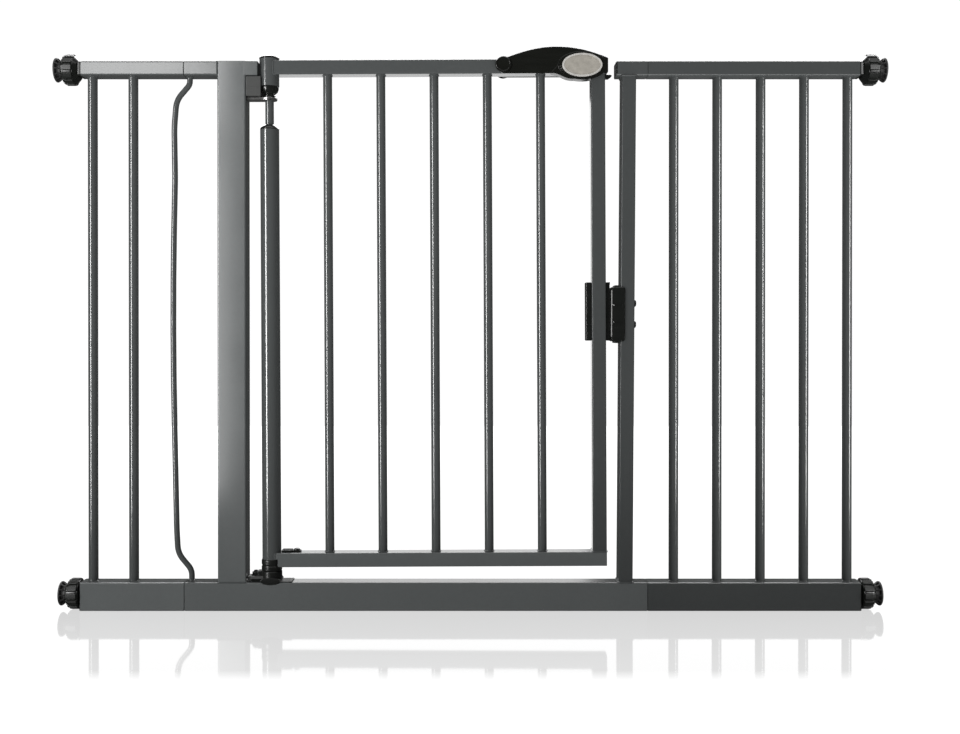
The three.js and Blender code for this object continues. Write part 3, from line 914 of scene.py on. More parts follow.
class GateTubeSettings(bpy.types.PropertyGroup):
    corner: length("Corner radius", "Outer corner radius of the square tubes", 2.2 * MM)
    wall: length("Wall", "Wall of the square tubes", 1.5 * MM)
    chamfer: length("End chamfer", "Broken edge at a tube's cut end", 0.35 * MM)
    bead: length("Weld bead", "Radius of the weld fillets on the rails", 1.3 * MM)
    bar_bead: length("Bar bead", "Radius of the weld fillets round the bars", 1.0 * MM)


class GateHandleSettings(bpy.types.PropertyGroup):
    edge: length("Edge radius", "Round along the lever's rims", 1.6 * MM)
    rim: length("Rim width", "Width of the badge's raised rim", 2.4 * MM)
    arcs: IntProperty(
        name="Arcs", description="Raised arcs that ring the badge", default=3, min=0, max=6
    )


class GateMountSettings(bpy.types.PropertyGroup):
    grips: IntProperty(
        name="Grips", description="Grip blocks round each handwheel", default=12, min=6, max=18
    )
    thread_depth: length("Thread depth", "Depth of the spindle's thread", 0.6 * MM)


class GateStudioSettings(bpy.types.PropertyGroup):
    distance: length("Camera distance", "From the lens to the gate's middle plane", 1.65)
    eye_height: length("Eye height", "Height of the lens", 0.3937)
    eye_offset: FloatProperty(
        name="Eye offset", description="Lens to the right of the gate's middle",
        default=0.0134, unit="LENGTH",
    )
    lens: FloatProperty(name="Lens", description="Focal length in millimetres", default=43.84)
    overhead: brightness("Overhead", "Brightness of the overhead softbox", 1.25)
    low: brightness("Low strip", "Brightness of the light at the floor", 5.0)
    strips: brightness("Strips", "Brightness of the tall strip lights", 31.0)
    room: brightness("Room", "Brightness of the room round the gate", 0.06)


# ---------------------------------------------------------------- square tubes
def tube_section(width, height, shrink, least=0.3 * MM):
    """A square tube's outline, drawn in by some distance all round."""
    corner = bpy.context.scene.gate_tubes.corner
    return rounded(width - 2 * shrink, height - 2 * shrink, max(corner - shrink, least))


def tube_shell(outline_at, start, end, axis, chamfer, wall, cope=None):
    """A hollow tube with broken ends; a coped start is cut to lie against a round post."""
    place = AXES[axis]

    def loop(shrink, along, starting=False):
        points = []
        for u, v in outline_at(shrink):
            back = math.sqrt(max(cope * cope - u * u, 0.0)) - cope if cope and starting else 0.0
            points.append(place(u, v, along + back))
        return points

    return skinned(
        [
            loop(chamfer, start, True), loop(0, start + chamfer, True), loop(0, end - chamfer),
            loop(chamfer, end), loop(wall, end), loop(wall, start, True),
        ],
        ring=True,
    )


def square_tube(node, axis, place=WORLD, cope=None):
    """A node's tube, with rolled corners and a hollow bore, at the node's own size."""
    tubes = bpy.context.scene.gate_tubes
    low, high = extent(node, place)
    middle = (low + high) / 2
    size = high - low
    across = {"x": (1, 2), "z": (0, 1)}[axis]
    along = {"x": 0, "z": 2}[axis]

    def outline_at(shrink):
        outline = tube_section(size[across[0]], size[across[1]], shrink)
        return moved(outline, middle[across[0]], middle[across[1]])

    bm = tube_shell(
        outline_at, low[along], high[along], axis, tubes.chamfer, tubes.wall, cope
    )
    piece = dressed(set_solid(f"{node}_finished", bm, "slate", place))
    return fitted(piece, "slate_paint", node)


def extension_rail(node, seam):
    """An extension's rail with the reduced spigot that slides into the frame's rail."""
    tubes = bpy.context.scene.gate_tubes
    low, high = extent(node)
    inwards = 1 if abs(high.x) < abs(low.x) else -1
    outer, tip = (low.x, high.x) if inwards > 0 else (high.x, low.x)
    middle = (low + high) / 2
    size = high - low
    fit = tubes.wall + 0.3 * MM

    def loop(shrink, along):
        outline = tube_section(size.y, size.z, shrink, 0.4 * MM)
        return [Vector((along, u, v + middle.z)) for u, v in outline]

    step = inwards * tubes.chamfer
    loops = [
        loop(tubes.chamfer, outer), loop(0, outer + step), loop(0, seam - step),
        loop(tubes.chamfer, seam), loop(fit, seam), loop(fit, tip - step),
        loop(fit + tubes.chamfer, tip), loop(fit + tubes.wall, tip),
        loop(fit + tubes.wall, outer),
    ]
    piece = dressed(set_solid(f"{node}_finished", skinned(loops, ring=True), "slate"))
    return fitted(piece, "slate_paint", node)


def left_post():
    """The wide post, with the short arm welded to its head."""
    tubes = bpy.context.scene.gate_tubes
    low, high = extent("left_post")
    stub_low, stub_high = extent("left_stub_rail")
    width = (high.y - low.y) * 4 / 3
    middle = low.x + width / 2

    def outline_at(shrink):
        return moved(tube_section(width, high.y - low.y, shrink), middle, 0)

    post = tube_shell(outline_at, low.z, high.z, "z", tubes.chamfer, tubes.wall)
    lid = slab(inset(outline_at(0), 0.8 * MM), "z", high.z - 1.6 * MM, high.z - 0.3 * MM, 0.3 * MM)
    arm = rounded_slab(
        (high.y - low.y + 0.05 * MM, stub_high.z - stub_low.z), 0.6 * tubes.corner,
        (0, (stub_low.z + stub_high.z) / 2), "x",
        low.x + width - 3.5 * MM, high.x, 0.5 * MM,
    )
    piece = dressed(set_solid("left_post_finished", together(post, lid, arm), "slate"))
    return fitted(piece, "slate_paint", "left_post")


def square_tubes():
    seam_left, seam_right = (corner.x for corner in extent("frame_bottom_rail"))
    for side, seam in (("left", seam_left - 0.8 * MM), ("right", seam_right + 0.5 * MM)):
        extension_rail(f"{side}_extension_top_rail", seam)
        extension_rail(f"{side}_extension_bottom_rail", seam)
    for node in ("left_stub_rail", "frame_bottom_rail", "right_stub_rail"):
        square_tube(node, "x")
    square_tube("right_post", "z", POST)
    square_tube("latch_stile", "z", HINGE)
    barrel = extent("hinge_barrel", HINGE)[1].x
    hinge_tube = extent("hinge_tube", HINGE)[1].x
    square_tube("leaf_top_rail", "x", HINGE, cope=barrel + 0.1 * MM)
    rail = square_tube("leaf_bottom_rail", "x", HINGE, cope=hinge_tube + 0.1 * MM)
    dressed(carved(rail, collar_room()))
    left_post()


def collar_room():
    """The round notch that a piece leaves for the collar at the foot of the hinge tube."""
    low, high = extent("hinge_collar", HINGE)
    reach = 1.04 * high.x + 1.8 * MM
    top = low.z + 0.87 * (high.z - low.z) + 0.4 * MM
    room = turned([(0, low.z - 5 * MM), (reach, low.z - 5 * MM), (reach, top), (0, top)])
    shifted(room, HINGE)
    return room


# ---------------------------------------------------------------- round bars
def bar_row(prefix, count, place):
    """The bars of one panel as a single piece, welded at head and foot."""
    tubes = bpy.context.scene.gate_tubes
    nodes = [f"{prefix}_bar_{number + 1}" for number in range(count)]
    low, high = extent(nodes[0], place)
    last = extent(nodes[-1], place)[0]
    radius = (high.x - low.x) / 2
    foot = Matrix.Translation((low.x + radius, 0, low.z - 0.2 * MM))
    piece = grown(
        f"{prefix}_bars", "bar_row", "slate", place=place @ foot,
        Count=count, Pitch=(last.x - low.x) / (count - 1), Radius=radius,
        Length=high.z - low.z + 0.4 * MM, Bead=tubes.bar_bead,
    )
    return fitted(piece, "slate_paint", *nodes)


def round_bars():
    bar_row("left_extension", 2, WORLD)
    bar_row("right_extension", 5, WORLD)
    bar_row("leaf", 5, HINGE)


def bowed_bar_ends():
    """How far across the side bar meets the bottom rail and the top rail."""
    low, high = extent("bowed_side_bar")
    foot, head = centre_line("bowed_side_bar", [low.z + MM, high.z - MM])
    return foot.x + 1.2 * MM, head.x + 1.5 * MM


def bowed_bar():
    """The slim side bar: straight feet, a knee near each end and a shallow bow between."""
    node = "bowed_side_bar"
    low, high = extent(node)
    reach = high.z - low.z
    foot, head = bowed_bar_ends()
    ankle, knee = foot - 19.4 * MM, head - 19.0 * MM
    route = [(head, high.z + 0.3 * MM), (head, high.z - 10 * MM), (knee, high.z - 32 * MM)]
    shares = [0.1 + 0.8 * step / 8 for step in range(9)]
    bow = centre_line(node, [high.z - reach * share for share in shares])
    for point, share in zip(bow, shares):
        route.append((point.x + 1.3 * MM * (1 - share), point.z))
    route += [(ankle, low.z + 38 * MM), (foot, low.z + 15 * MM), (foot, low.z - 0.3 * MM)]
    line = [Vector((x, 0, z)) for x, z in eased(route, 11 * MM, steps=8)]
    piece = grown(
        f"{node}_finished", "sweep", "slate", paths(line, closed=False),
        Radius=high.y, Sides=24, Step=2.5 * MM, Ripple=0.0, Wave=1.0,
    )
    return fitted(piece, "slate_paint", node)


# ---------------------------------------------------------------- weld beads
def foot_path(node, place, at_top=False):
    """The line round the end of an upright square tube."""
    low, high = extent(node, place)
    level = high.z if at_top else low.z
    corner = bpy.context.scene.gate_tubes.corner
    outline = rounded(high.x - low.x, high.y - low.y, corner)
    middle = (low + high) / 2
    return [place @ Vector((u + middle.x, v, level)) for u, v in outline]


def coped_path(node, place, radius):
    """The line where a rail's coped end meets a round post."""
    low, high = extent(node, place)
    corner = bpy.context.scene.gate_tubes.corner
    outline = rounded(high.y - low.y - MM, high.z - low.z, corner)
    middle = (low + high) / 2
    return [
        place @ Vector((math.sqrt(radius * radius - u * u) + 0.5 * MM, u, v + middle.z))
        for u, v in outline
    ]


def round_path(centre, radius):
    """The line round the end of an upright bar."""
    return [Vector((u, v, centre.z)) for u, v in ellipse(radius, radius, centre, 32)]


def weld(name, body_node, *lines):
    tubes = bpy.context.scene.gate_tubes
    piece = grown(
        name, "sweep", "slate", paths(*lines),
        Radius=tubes.bead, Sides=8, Step=0.9 * MM, Ripple=0.22, Wave=2.7 * MM,
    )
    return added(piece, body_node)


def weld_beads():
    stub_low, stub_high = extent("left_stub_rail")
    corner = bpy.context.scene.gate_tubes.corner
    stub = [
        Vector((stub_high.x + 0.2 * MM, u, v + (stub_low.z + stub_high.z) / 2))
        for u, v in rounded(stub_high.y - stub_low.y - MM, stub_high.z - stub_low.z, corner)
    ]
    post_low, post_high = extent("left_post")
    width = (post_high.y - post_low.y) * 4 / 3
    foot = [
        Vector((u + post_low.x + width / 2, v, post_low.z - 0.2 * MM))
        for u, v in rounded(width, post_high.y - post_low.y - MM, corner)
    ]
    bar_low, bar_high = extent("bowed_side_bar")
    bar_foot, bar_head = bowed_bar_ends()
    weld(
        "frame_welds", "left_post", stub, foot,
        foot_path("right_post", POST), foot_path("right_post", POST, at_top=True),
        round_path(Vector((bar_foot, 0, bar_low.z)), bar_high.y),
        round_path(Vector((bar_head, 0, bar_high.z)), bar_high.y),
    )
    leaf_welds = weld(
        "leaf_welds", "leaf_top_rail",
        coped_path("leaf_top_rail", HINGE, extent("hinge_barrel", HINGE)[1].x),
        coped_path("leaf_bottom_rail", HINGE, extent("hinge_tube", HINGE)[1].x),
        foot_path("latch_stile", HINGE), foot_path("latch_stile", HINGE, at_top=True),
    )
    dressed(carved(leaf_welds, collar_room()))


# ---------------------------------------------------------------- turned pieces
def spun(name, profile, look, ease=0.5 * MM, ring=False):
    """A turned piece on the hinge line, with its corners eased."""
    soft = eased(profile, ease, closed=ring)
    return dressed(set_solid(name, turned(soft, ring), look, HINGE))


def proportioned(radius, low, high, pairs):
    """A profile given as shares of a radius and of a height."""
    return [(radius * r, low + (high - low) * h) for r, h in pairs]


# ---------------------------------------------------------------- upper hinge
def upper_hinge():
    low, high = extent("hinge_barrel", HINGE)
    radius = high.x
    profile = [(0, low.z), (radius, low.z), (radius, high.z), (0, high.z)]
    fitted(spun("hinge_barrel_finished", profile, "slate"), "slate_paint", "hinge_barrel")
    dome = proportioned(
        radius, high.z, high.z + 3.6 * MM,
        [(0.4, 0), (1.02, 0), (1.04, 0.35), (0.97, 0.62), (0.75, 0.87), (0.4, 0.98), (0, 1)],
    )
    cap = spun("hinge_barrel_cap", dome, "plastic", 0.6 * MM)
    added(cap, "hinge_barrel")

    low, high = extent("hinge_cam_bush", HINGE)
    bowl = proportioned(
        high.x, low.z, high.z,
        [(0.3, 0), (0.66, 0), (0.68, 0.12), (0.58, 0.17), (0.56, 0.27), (0.70, 0.34),
         (0.90, 0.52), (0.97, 0.70), (1.0, 0.80), (1.0, 0.97), (0.3, 1)],
    )
    bush = spun("hinge_cam_bush_finished", bowl, "plastic", 0.6 * MM)
    fitted(bush, "black_plastic", "hinge_cam_bush")

    eye_plate()
    guard = softened("upper_hinge_guard", "guard", 0.9 * MM)
    fitted(guard, "dark_guard", "upper_hinge_guard")
    guard_ribs()

    low, high = extent("hinge_rod", HINGE)
    rod = [(0, low.z), (high.x, low.z), (high.x, high.z), (0, high.z)]
    fitted(spun("hinge_rod_finished", rod, "slate"), "slate_paint", "hinge_rod")


def eye_plate():
    """The steel plate whose round eye holds the rod, pressed with a low boss round its hole."""
    low, high = extent("upper_hinge_plate", HINGE)
    reach = -low.x
    half = 9 * MM
    eye = high.x
    start = math.asin(half / eye)
    turns = [math.pi - start - (2 * math.pi - 2 * start) * step / 40 for step in range(41)]
    arc = [(eye * math.cos(turn), eye * math.sin(turn)) for turn in turns]
    outline = [(-reach, -half), (-reach, half)] + arc
    plate = slab(outline[::-1], "z", low.z + 0.5 * MM, high.z - 0.4 * MM, 0.5 * MM, 3)
    boss = turned(
        eased([(6.4 * MM, low.z), (8.6 * MM, low.z), (9.4 * MM, low.z + 0.9 * MM),
               (9.4 * MM, high.z - 0.8 * MM), (8.6 * MM, high.z), (6.4 * MM, high.z)],
              0.3 * MM, closed=True),
        ring=True,
    )
    solid = set_solid("upper_hinge_plate_finished", together(plate, boss), "steel", HINGE)
    fitted(dressed(solid), "bright_steel", "upper_hinge_plate")


def guard_ribs():
    """The fine raised line across the guard's front and back."""
    low, high = extent("upper_hinge_guard", HINGE)
    middle = low.z + (high.z - low.z) * 0.44
    strips = []
    for side in (-1, 1):
        face = side * high.y
        strips.append(
            block(
                (low.x + 1.5 * MM, min(face, face - side * MM) - 0.25 * MM, middle - 0.5 * MM),
                (high.x - 1.5 * MM, max(face, face - side * MM) + 0.25 * MM, middle + 0.5 * MM),
            )
        )
    ribs = set_solid("upper_hinge_guard_ribs", together(*strips), "guard", HINGE)
    added(dressed(ribs, 0.2 * MM, 2), "upper_hinge_guard")


# ---------------------------------------------------------------- lower hinge and hinge tube
def lower_hinge():
    low, high = extent("hinge_tube", HINGE)
    radius = high.x
    wall = 1.5 * MM
    shell = [(radius, low.z), (radius, high.z), (radius - wall, high.z), (radius - wall, low.z)]
    tube = spun("hinge_tube_finished", shell, "slate", 0.4 * MM, ring=True)
    fitted(tube, "slate_paint", "hinge_tube")
    rod = extent("hinge_rod", HINGE)[1].x
    dome = [
        (rod + 0.15 * MM, high.z - 3 * MM), (radius - wall - 0.1 * MM, high.z - 3 * MM),
        (radius - wall - 0.1 * MM, high.z), (radius + 0.15 * MM, high.z + 0.1 * MM),
        (radius + 0.1 * MM, high.z + 1.2 * MM), (radius * 0.88, high.z + 3.8 * MM),
        (radius * 0.66, high.z + 6.2 * MM), (rod + 0.9 * MM, high.z + 7 * MM),
        (rod + 0.15 * MM, high.z + 6.4 * MM),
    ]
    cap = spun("hinge_tube_cap", dome, "plastic", 1.2 * MM, ring=True)
    added(cap, "hinge_tube")

    low, high = extent("closing_spring", HINGE)
    wire = 1.6 * MM
    spring = grown(
        "closing_spring_finished", "coil", "spring",
        place=HINGE @ Matrix.Translation((0, 0, low.z + wire)),
        Turns=9.0, Coil=high.x - wire, Height=high.z - low.z - 2 * wire, Wire=wire,
    )
    fitted(spring, "spring_steel", "closing_spring")

    low, high = extent("hinge_collar", HINGE)
    collar_profile = proportioned(
        high.x, low.z, high.z,
        [(0.42, 0), (1.0, 0), (1.04, 0.06), (1.04, 0.32), (0.98, 0.36), (0.98, 0.44),
         (1.04, 0.49), (1.04, 0.78), (0.98, 0.87), (0.42, 0.87)],
    )
    ring = spun("hinge_collar_finished", collar_profile, "grip", 0.5 * MM, ring=True)
    fitted(ring, "black_plastic", "hinge_collar")
    cup_and_pin()
    lower_plate()


def cup_and_pin():
    """The cup that hugs the rail's edges, the pin in it and the clamping lug at its side."""
    low, high = extent("lower_hinge_cup", HINGE)
    rail_low, rail_high = extent("frame_bottom_rail")
    radius = high.x
    rim = low.z + 13.7 * MM
    pin = 5.2 * MM
    profile = [
        (0, low.z), (radius + 0.6 * MM, low.z), (radius + 0.5 * MM, rim - MM),
        (radius - 0.4 * MM, rim), (0.55 * radius, rim), (0.5 * radius, rim - 1.6 * MM),
        (pin, rim - 1.6 * MM), (pin, high.z - 0.8 * MM), (pin - 0.8 * MM, high.z), (0, high.z),
    ]
    cup = spun("lower_hinge_cup_finished", profile, "grip", 0.5 * MM)
    fitted(cup, "black_plastic", "lower_hinge_cup")
    grip = slab(
        ellipse(radius - 0.2 * MM, 5.0 * MM, (0, rail_high.z + 1.6 * MM)), "y",
        rail_low.y - 0.9 * MM, rail_high.y + 0.9 * MM, 0.5 * MM,
    )
    saddle = set_solid("lower_hinge_cup_saddle", grip, "grip")
    far, gap = 60 * MM, 0.1 * MM
    rail = block((-far, rail_low.y - gap, rail_low.z), (far, rail_high.y + gap, rail_high.z))
    carved(saddle, rail)
    saddle.data.transform(HINGE)
    added(dressed(saddle, sharp=30), "lower_hinge_cup")
    lug = rounded_slab(
        (9 * MM, 12.6 * MM), 2 * MM, (-radius - 1.5 * MM, 0), "z",
        low.z + 0.4 * MM, rim + 0.3 * MM, 0.8 * MM,
    )
    # A thin black sheet, 0.9 mm thick, laid over the rail's whole top face behind the cup, darkening the rail top
    # there.
    tail = rounded_slab(
        (24 * MM, 28 * MM), 2 * MM, (radius + 4 * MM, 0), "z",
        rail_high.z + 0.1 * MM, rail_high.z + 1.0 * MM, 0.4 * MM,
    )
    sides = set_solid("lower_hinge_cup_lugs", together(lug, tail), "grip", HINGE)
    added(dressed(sides), "lower_hinge_cup")


def lower_plate():
    """The plate that ties the cup to the post, its hexagon bolt, and the pad under it."""
    low, high = extent("lower_hinge_plate", HINGE)
    plate = softened("lower_hinge_plate", "guard", 0.8 * MM)
    fitted(plate, "dark_guard", "lower_hinge_plate")
    bolt_x = low.x + 10.5 * MM
    across = 5.2 * MM
    hexagon = ellipse(across, across, (bolt_x, 0), 6)
    nut = slab(hexagon, "z", high.z + 0.1 * MM, high.z + 5.2 * MM, 0.5 * MM, 3)
    brim = high.z + 0.8 * MM
    washer = turned([(0, high.z), (6.6 * MM, high.z), (6.6 * MM, brim), (0, brim)])
    stud = turned([(0, high.z), (3 * MM, high.z), (3 * MM, high.z + 6.6 * MM),
                   (2.4 * MM, high.z + 7.2 * MM), (0, high.z + 7.2 * MM)])
    for part in (washer, stud):
        shifted(part, Matrix.Translation((bolt_x, 0, 0)))
    bolt = set_solid("lower_hinge_bolt", together(nut, washer, stud), "plastic", HINGE)
    added(dressed(bolt), "lower_hinge_plate")
    rail_top = extent("frame_bottom_rail")[1].z
    pad = rounded_slab(
        (19 * MM, 17 * MM), 2.5 * MM, (low.x + 13 * MM, 0), "z",
        rail_top + 0.1 * MM, low.z - 0.1 * MM, 0.6 * MM,
    )
    base = set_solid("lower_hinge_pad", pad, "plastic", HINGE)
    added(dressed(base), "lower_hinge_plate")


def adjuster():
    """The clamp and its screw on the bottom rail, which set the closing spring's pull."""
    low, high = extent("leaf_bottom_rail", HINGE)
    pad = rounded_slab(
        (15 * MM, 15 * MM), 2 * MM, (low.x + 8.5 * MM, 0), "z",
        high.z + 0.1 * MM, high.z + 3.4 * MM, 0.8 * MM,
    )
    tab = rounded_slab(
        (13 * MM, 9 * MM), 1.6 * MM, (low.x + 21.5 * MM, 0), "z",
        high.z + 0.1 * MM, high.z + 2.4 * MM, 0.6 * MM,
    )
    head = turned(eased(
        [(0, high.z + 2.2 * MM), (4.4 * MM, high.z + 2.2 * MM), (4.4 * MM, high.z + 4.2 * MM),
         (2.0 * MM, high.z + 5.4 * MM), (0, high.z + 5.4 * MM)], 0.8 * MM))
    shifted(head, Matrix.Translation((low.x + 22 * MM, 0, 0)))
    clamp = set_solid("spring_adjuster", together(pad, tab, head), "plastic", HINGE)
    added(dressed(clamp), "leaf_bottom_rail")


# ---------------------------------------------------------------- stop at half height
def stop_fittings():
    stop_block()
    screw_heads()
    saddle = softened("stop_saddle", "plastic", 0.9 * MM)
    fitted(saddle, "black_plastic", "stop_saddle")
    low, high = extent("stop_saddle", HINGE)
    lugs = [
        block(
            (high.x - 2.6 * MM, low.y + 2 * MM, level),
            (high.x + 0.5 * MM, high.y - 2 * MM, level + 4 * MM),
        )
        for level in (low.z - 0.2 * MM, high.z - 3.8 * MM)
    ]
    ends = set_solid("stop_saddle_lugs", together(*lugs), "plastic", HINGE)
    added(dressed(ends, 0.5 * MM), "stop_saddle")


def stop_block():
    """The block clamped round the post: two cheeks, a recessed face with screw slots, and a pale strip on its
    front edge for the leaf to stop against, its pale grey a painted highlight.
    """
    low, high = extent("stop_block", POST)
    post_low, post_high = extent("right_post", POST)
    back = post_low.x - 0.3 * MM
    rise = high.z - low.z - 4.4 * MM
    middle = (low.z + high.z) / 2
    full = moved(rounded(high.x - low.x, rise, 4.6 * MM), (low.x + high.x) / 2, middle)
    core = moved(rounded(back - low.x, rise, 3.2 * MM), (low.x + back) / 2, middle)
    place = AXES["y"]
    cheek = post_high.y + 0.3 * MM
    edge = 1.2 * MM
    levels = [
        (inset(full, edge), -high.y), (full, -high.y + edge), (full, -cheek), (core, -cheek),
        (core, cheek), (full, cheek), (full, high.y - edge), (inset(full, edge), high.y),
    ]
    bm = skinned([[place(u, v, at) for u, v in loop] for loop, at in levels])
    body = set_solid("stop_block_finished", bm, "plastic")
    slot_height = 2.4 * MM
    slots = [
        block(
            (low.x + 3.5 * MM, -high.y - MM, level - slot_height / 2),
            (high.x - 4 * MM, -high.y + 1.2 * MM, level + slot_height / 2),
        )
        for level in screw_levels(0.15)
    ]
    carved(body, together(*slots))
    body.data.transform(POST)
    fitted(dressed(body, 0.35 * MM, 2), "black_plastic", "stop_block")
    start, width, rise = low.x + 5.2 * MM, 6 * MM, 2.2 * MM
    lugs = [
        block(
            (start, -high.y + 3 * MM, level - rise), (start + width, high.y - 3 * MM, level + rise)
        )
        for level in (low.z + rise, high.z - rise)
    ]
    lug_piece = set_solid("stop_block_lugs", together(*lugs), "plastic", POST)
    added(dressed(lug_piece, 0.6 * MM), "stop_block")
    # A pale strip along the block's front edge, its pale grey a painted highlight.
    strip = block(
        (low.x - 0.2 * MM, -high.y - 0.2 * MM, low.z + 9 * MM),
        (low.x + 1.0 * MM, -high.y + 1.6 * MM, high.z - 7 * MM),
    )
    bumper_highlight = set_solid("stop_block_bumper_highlight", strip, "bumper_highlight", POST)
    added(dressed(bumper_highlight, 0.4 * MM), "stop_block")


def screw_levels(apart):
    """Heights of the two screws, as a share of the block to each side of its middle."""
    low, high = extent("stop_block", POST)
    return [low.z + (high.z - low.z) * (0.507 + side * apart) for side in (-1, 1)]


def screw_heads():
    """The two screws that hold the block: heads on the post's far side, tips in the slots."""
    post_high = extent("right_post", POST)[1]
    block_low, block_high = extent("stop_block", POST)
    head = turned(eased(
        [(0, -0.2 * MM), (5.3 * MM, -0.2 * MM), (5.2 * MM, 1.2 * MM), (3.8 * MM, 2.9 * MM),
         (1.6 * MM, 3.5 * MM), (0, 3.5 * MM)], 0.8 * MM))
    arm, half, bed, top = 3.2 * MM, 0.5 * MM, 2.4 * MM, 5 * MM
    along = block((-arm, -half, bed), (arm, half, top))
    across = block((-half, -arm, bed), (half, arm, top))
    one = carved(set_solid("screw", head, "plastic"), along, across)
    start = bmesh.new()
    start.from_mesh(one.data)
    bpy.data.objects.remove(one)
    levels = screw_levels(0.183)
    turn = Matrix.Rotation(math.pi / 2, 4, "Y")
    seat = Matrix.Translation((post_high.x, -4 * MM, levels[0]))
    shifted(start, seat @ turn)
    heads = grown(
        "stop_block_screws", "row", "plastic", start, POST,
        Count=2, Stride=(0, 0, levels[1] - levels[0]),
    )
    added(heads, "stop_block")
    tip = turned(eased(
        [(0, 0), (1.2 * MM, 0), (1.2 * MM, 0.8 * MM), (0.6 * MM, 1.2 * MM), (0, 1.2 * MM)],
        0.4 * MM), steps=20)
    levels = screw_levels(0.15)
    facing = Matrix.Translation((block_low.x + 3.7 * MM, -block_high.y + 1.0 * MM, levels[0]))
    shifted(tip, facing @ Matrix.Rotation(math.pi / 2, 4, "X"))
    tips = grown(
        "stop_block_screw_tips", "row", "steel", tip, POST,
        Count=2, Stride=(0, 0, levels[1] - levels[0]),
    )
    added(tips, "stop_block")


# ---------------------------------------------------------------- handle
def lever_values():
    """Where the lever's outline turns, read from its neighbours in the frame."""
    pivot = HINGE.inverted() @ Vector(joint("handle_lift")["pos_m"])
    low, high = extent("handle_lever", HINGE)
    badge_low, badge_high = extent("handle_badge", HINGE)
    housing_low, housing_high = extent("handle_housing", HINGE)
    centre = (badge_low + badge_high) / 2 + Vector((-2.1 * MM, 0, 0.7 * MM))
    return {
        "pivot": pivot, "low": low, "high": high, "half": high.y,
        "badge": centre, "badge_size": badge_high - badge_low, "badge_back": badge_high.y,
        "sill": housing_low.z - MM, "inner": housing_high.y + 0.3 * MM,
        "roof": housing_high.z + MM, "end": housing_high.x - 2.8 * MM,
        "crest": pivot.x + 0.51 * (housing_high.x - 5 * MM - pivot.x), "boss": pivot.x - low.x,
    }


def round_end(at, radius):
    """The half circle that closes a piece's near end round the pivot, from its top down."""
    turns = [math.pi * (0.5 + 0.85 * step / 12) for step in range(13)]
    pivot = at["pivot"]
    return [(pivot.x + radius * math.cos(t), pivot.z + radius * math.sin(t)) for t in turns]


def lever_outline(at):
    """A round boss at the pivot, a low arch over the rail and a straight far end."""
    pivot, boss, end, top = at["pivot"], at["boss"], at["end"], at["high"].z
    shoulder = (end, at["roof"] - 3.4 * MM)
    crest = (at["crest"], top)
    outline = [
        (pivot.x, at["sill"]), (pivot.x + 40 * MM, at["sill"]), (end - 2 * MM, at["sill"]),
        (end - 0.6 * MM, at["sill"] + 0.6 * MM), (end, at["sill"] + 2 * MM),
        (end, shoulder[1] - 3 * MM), shoulder,
    ]
    outline += bezier(
        shoulder, (end - 20 * MM, top - 7.5 * MM), (at["crest"] + 30 * MM, top), crest
    )
    outline += bezier(
        crest, (at["crest"] - 26 * MM, top), (pivot.x + 27 * MM, pivot.z + boss + 8 * MM),
        (pivot.x + 6 * MM, pivot.z + boss + 0.6 * MM),
    )
    return outline + round_end(at, boss)


def handle():
    """The lever, hollowed over the rail and open at the thumb catch, and all it carries."""
    at = lever_values()
    half, settings = at["half"], bpy.context.scene.gate_handle
    slide_low, slide_high = extent("release_slide", HINGE)
    far = 40 * MM
    channel = block(
        (at["low"].x - far, -at["inner"], at["low"].z - far),
        (at["end"] + far, at["inner"], at["roof"]),
    )
    back_edge = block(
        (at["low"].x - far, 0, at["low"].z - far), (at["end"] + far, far, at["sill"] + 4 * MM)
    )
    thumb = rounded_slab(
        (slide_high.x - slide_low.x + 11 * MM, 2 * slide_high.y + 0.8 * MM), 3 * MM,
        ((slide_low.x + slide_high.x) / 2 - 4.5 * MM, 0), "z",
        slide_low.z - 0.4 * MM, at["high"].z + 10 * MM,
    )
    bm = slab(lever_outline(at), "y", -half, half, settings.edge, 5)
    lever = set_solid("handle_lever_finished", bm, "lever")
    carved(lever, channel, back_edge, thumb)
    lever.data.transform(HINGE)
    fitted(dressed(lever, sharp=30), "black_plastic", "handle_lever")
    badge_surround(at)
    housing(at)
    badge_pieces(at)
    pivot_pin(at)
    release_slide(slide_low, slide_high)


def badge_surround(at):
    """The oval boss that carries the badge, and the fixed chin behind it under the rail."""
    badge, size = at["badge"], at["badge_size"]
    wide, tall = size.x / 2 + 8.4 * MM, size.z / 2 + 3.9 * MM
    outline = []
    for step in range(73):
        turn = math.radians(252 + 288 * step / 72)
        outline.append((badge.x + wide * math.cos(turn), badge.z + tall * math.sin(turn)))
    brow = (badge.x - wide - 9 * MM, at["sill"] + 0.4 * MM)
    outline.append(brow)
    outline += bezier(
        brow, (badge.x - wide + 5 * MM, at["sill"]), (badge.x - 26 * MM, badge.z - tall),
        outline[0],
    )[:-1]
    rail_low = extent("leaf_top_rail", HINGE)[0]
    stile_low = extent("latch_stile", HINGE)[0]
    gap, far = 0.5 * MM, 60 * MM
    front = slab(outline, "y", -at["half"] - 0.35 * MM, rail_low.y - gap, 1.3 * MM, 4)
    boss = dressed(set_solid("handle_surround", front, "lever", HINGE), sharp=30)
    added(boss, "handle_lever")
    under = slab(inset(outline, 0.4 * MM), "y", rail_low.y - 0.2 * MM, -1 * MM, 0.5 * MM)
    chin = set_solid("handle_chin", under, "lever")
    rail = block(
        (badge.x - far, -far, rail_low.z - 0.1 * MM), (badge.x + far, far, badge.z + far)
    )
    stile = block(
        (stile_low.x - 0.1 * MM, -far, badge.z - far), (badge.x + far, far, badge.z)
    )
    carved(chin, rail, stile)
    chin.data.transform(HINGE)
    added(dressed(chin, sharp=30), "handle_housing")


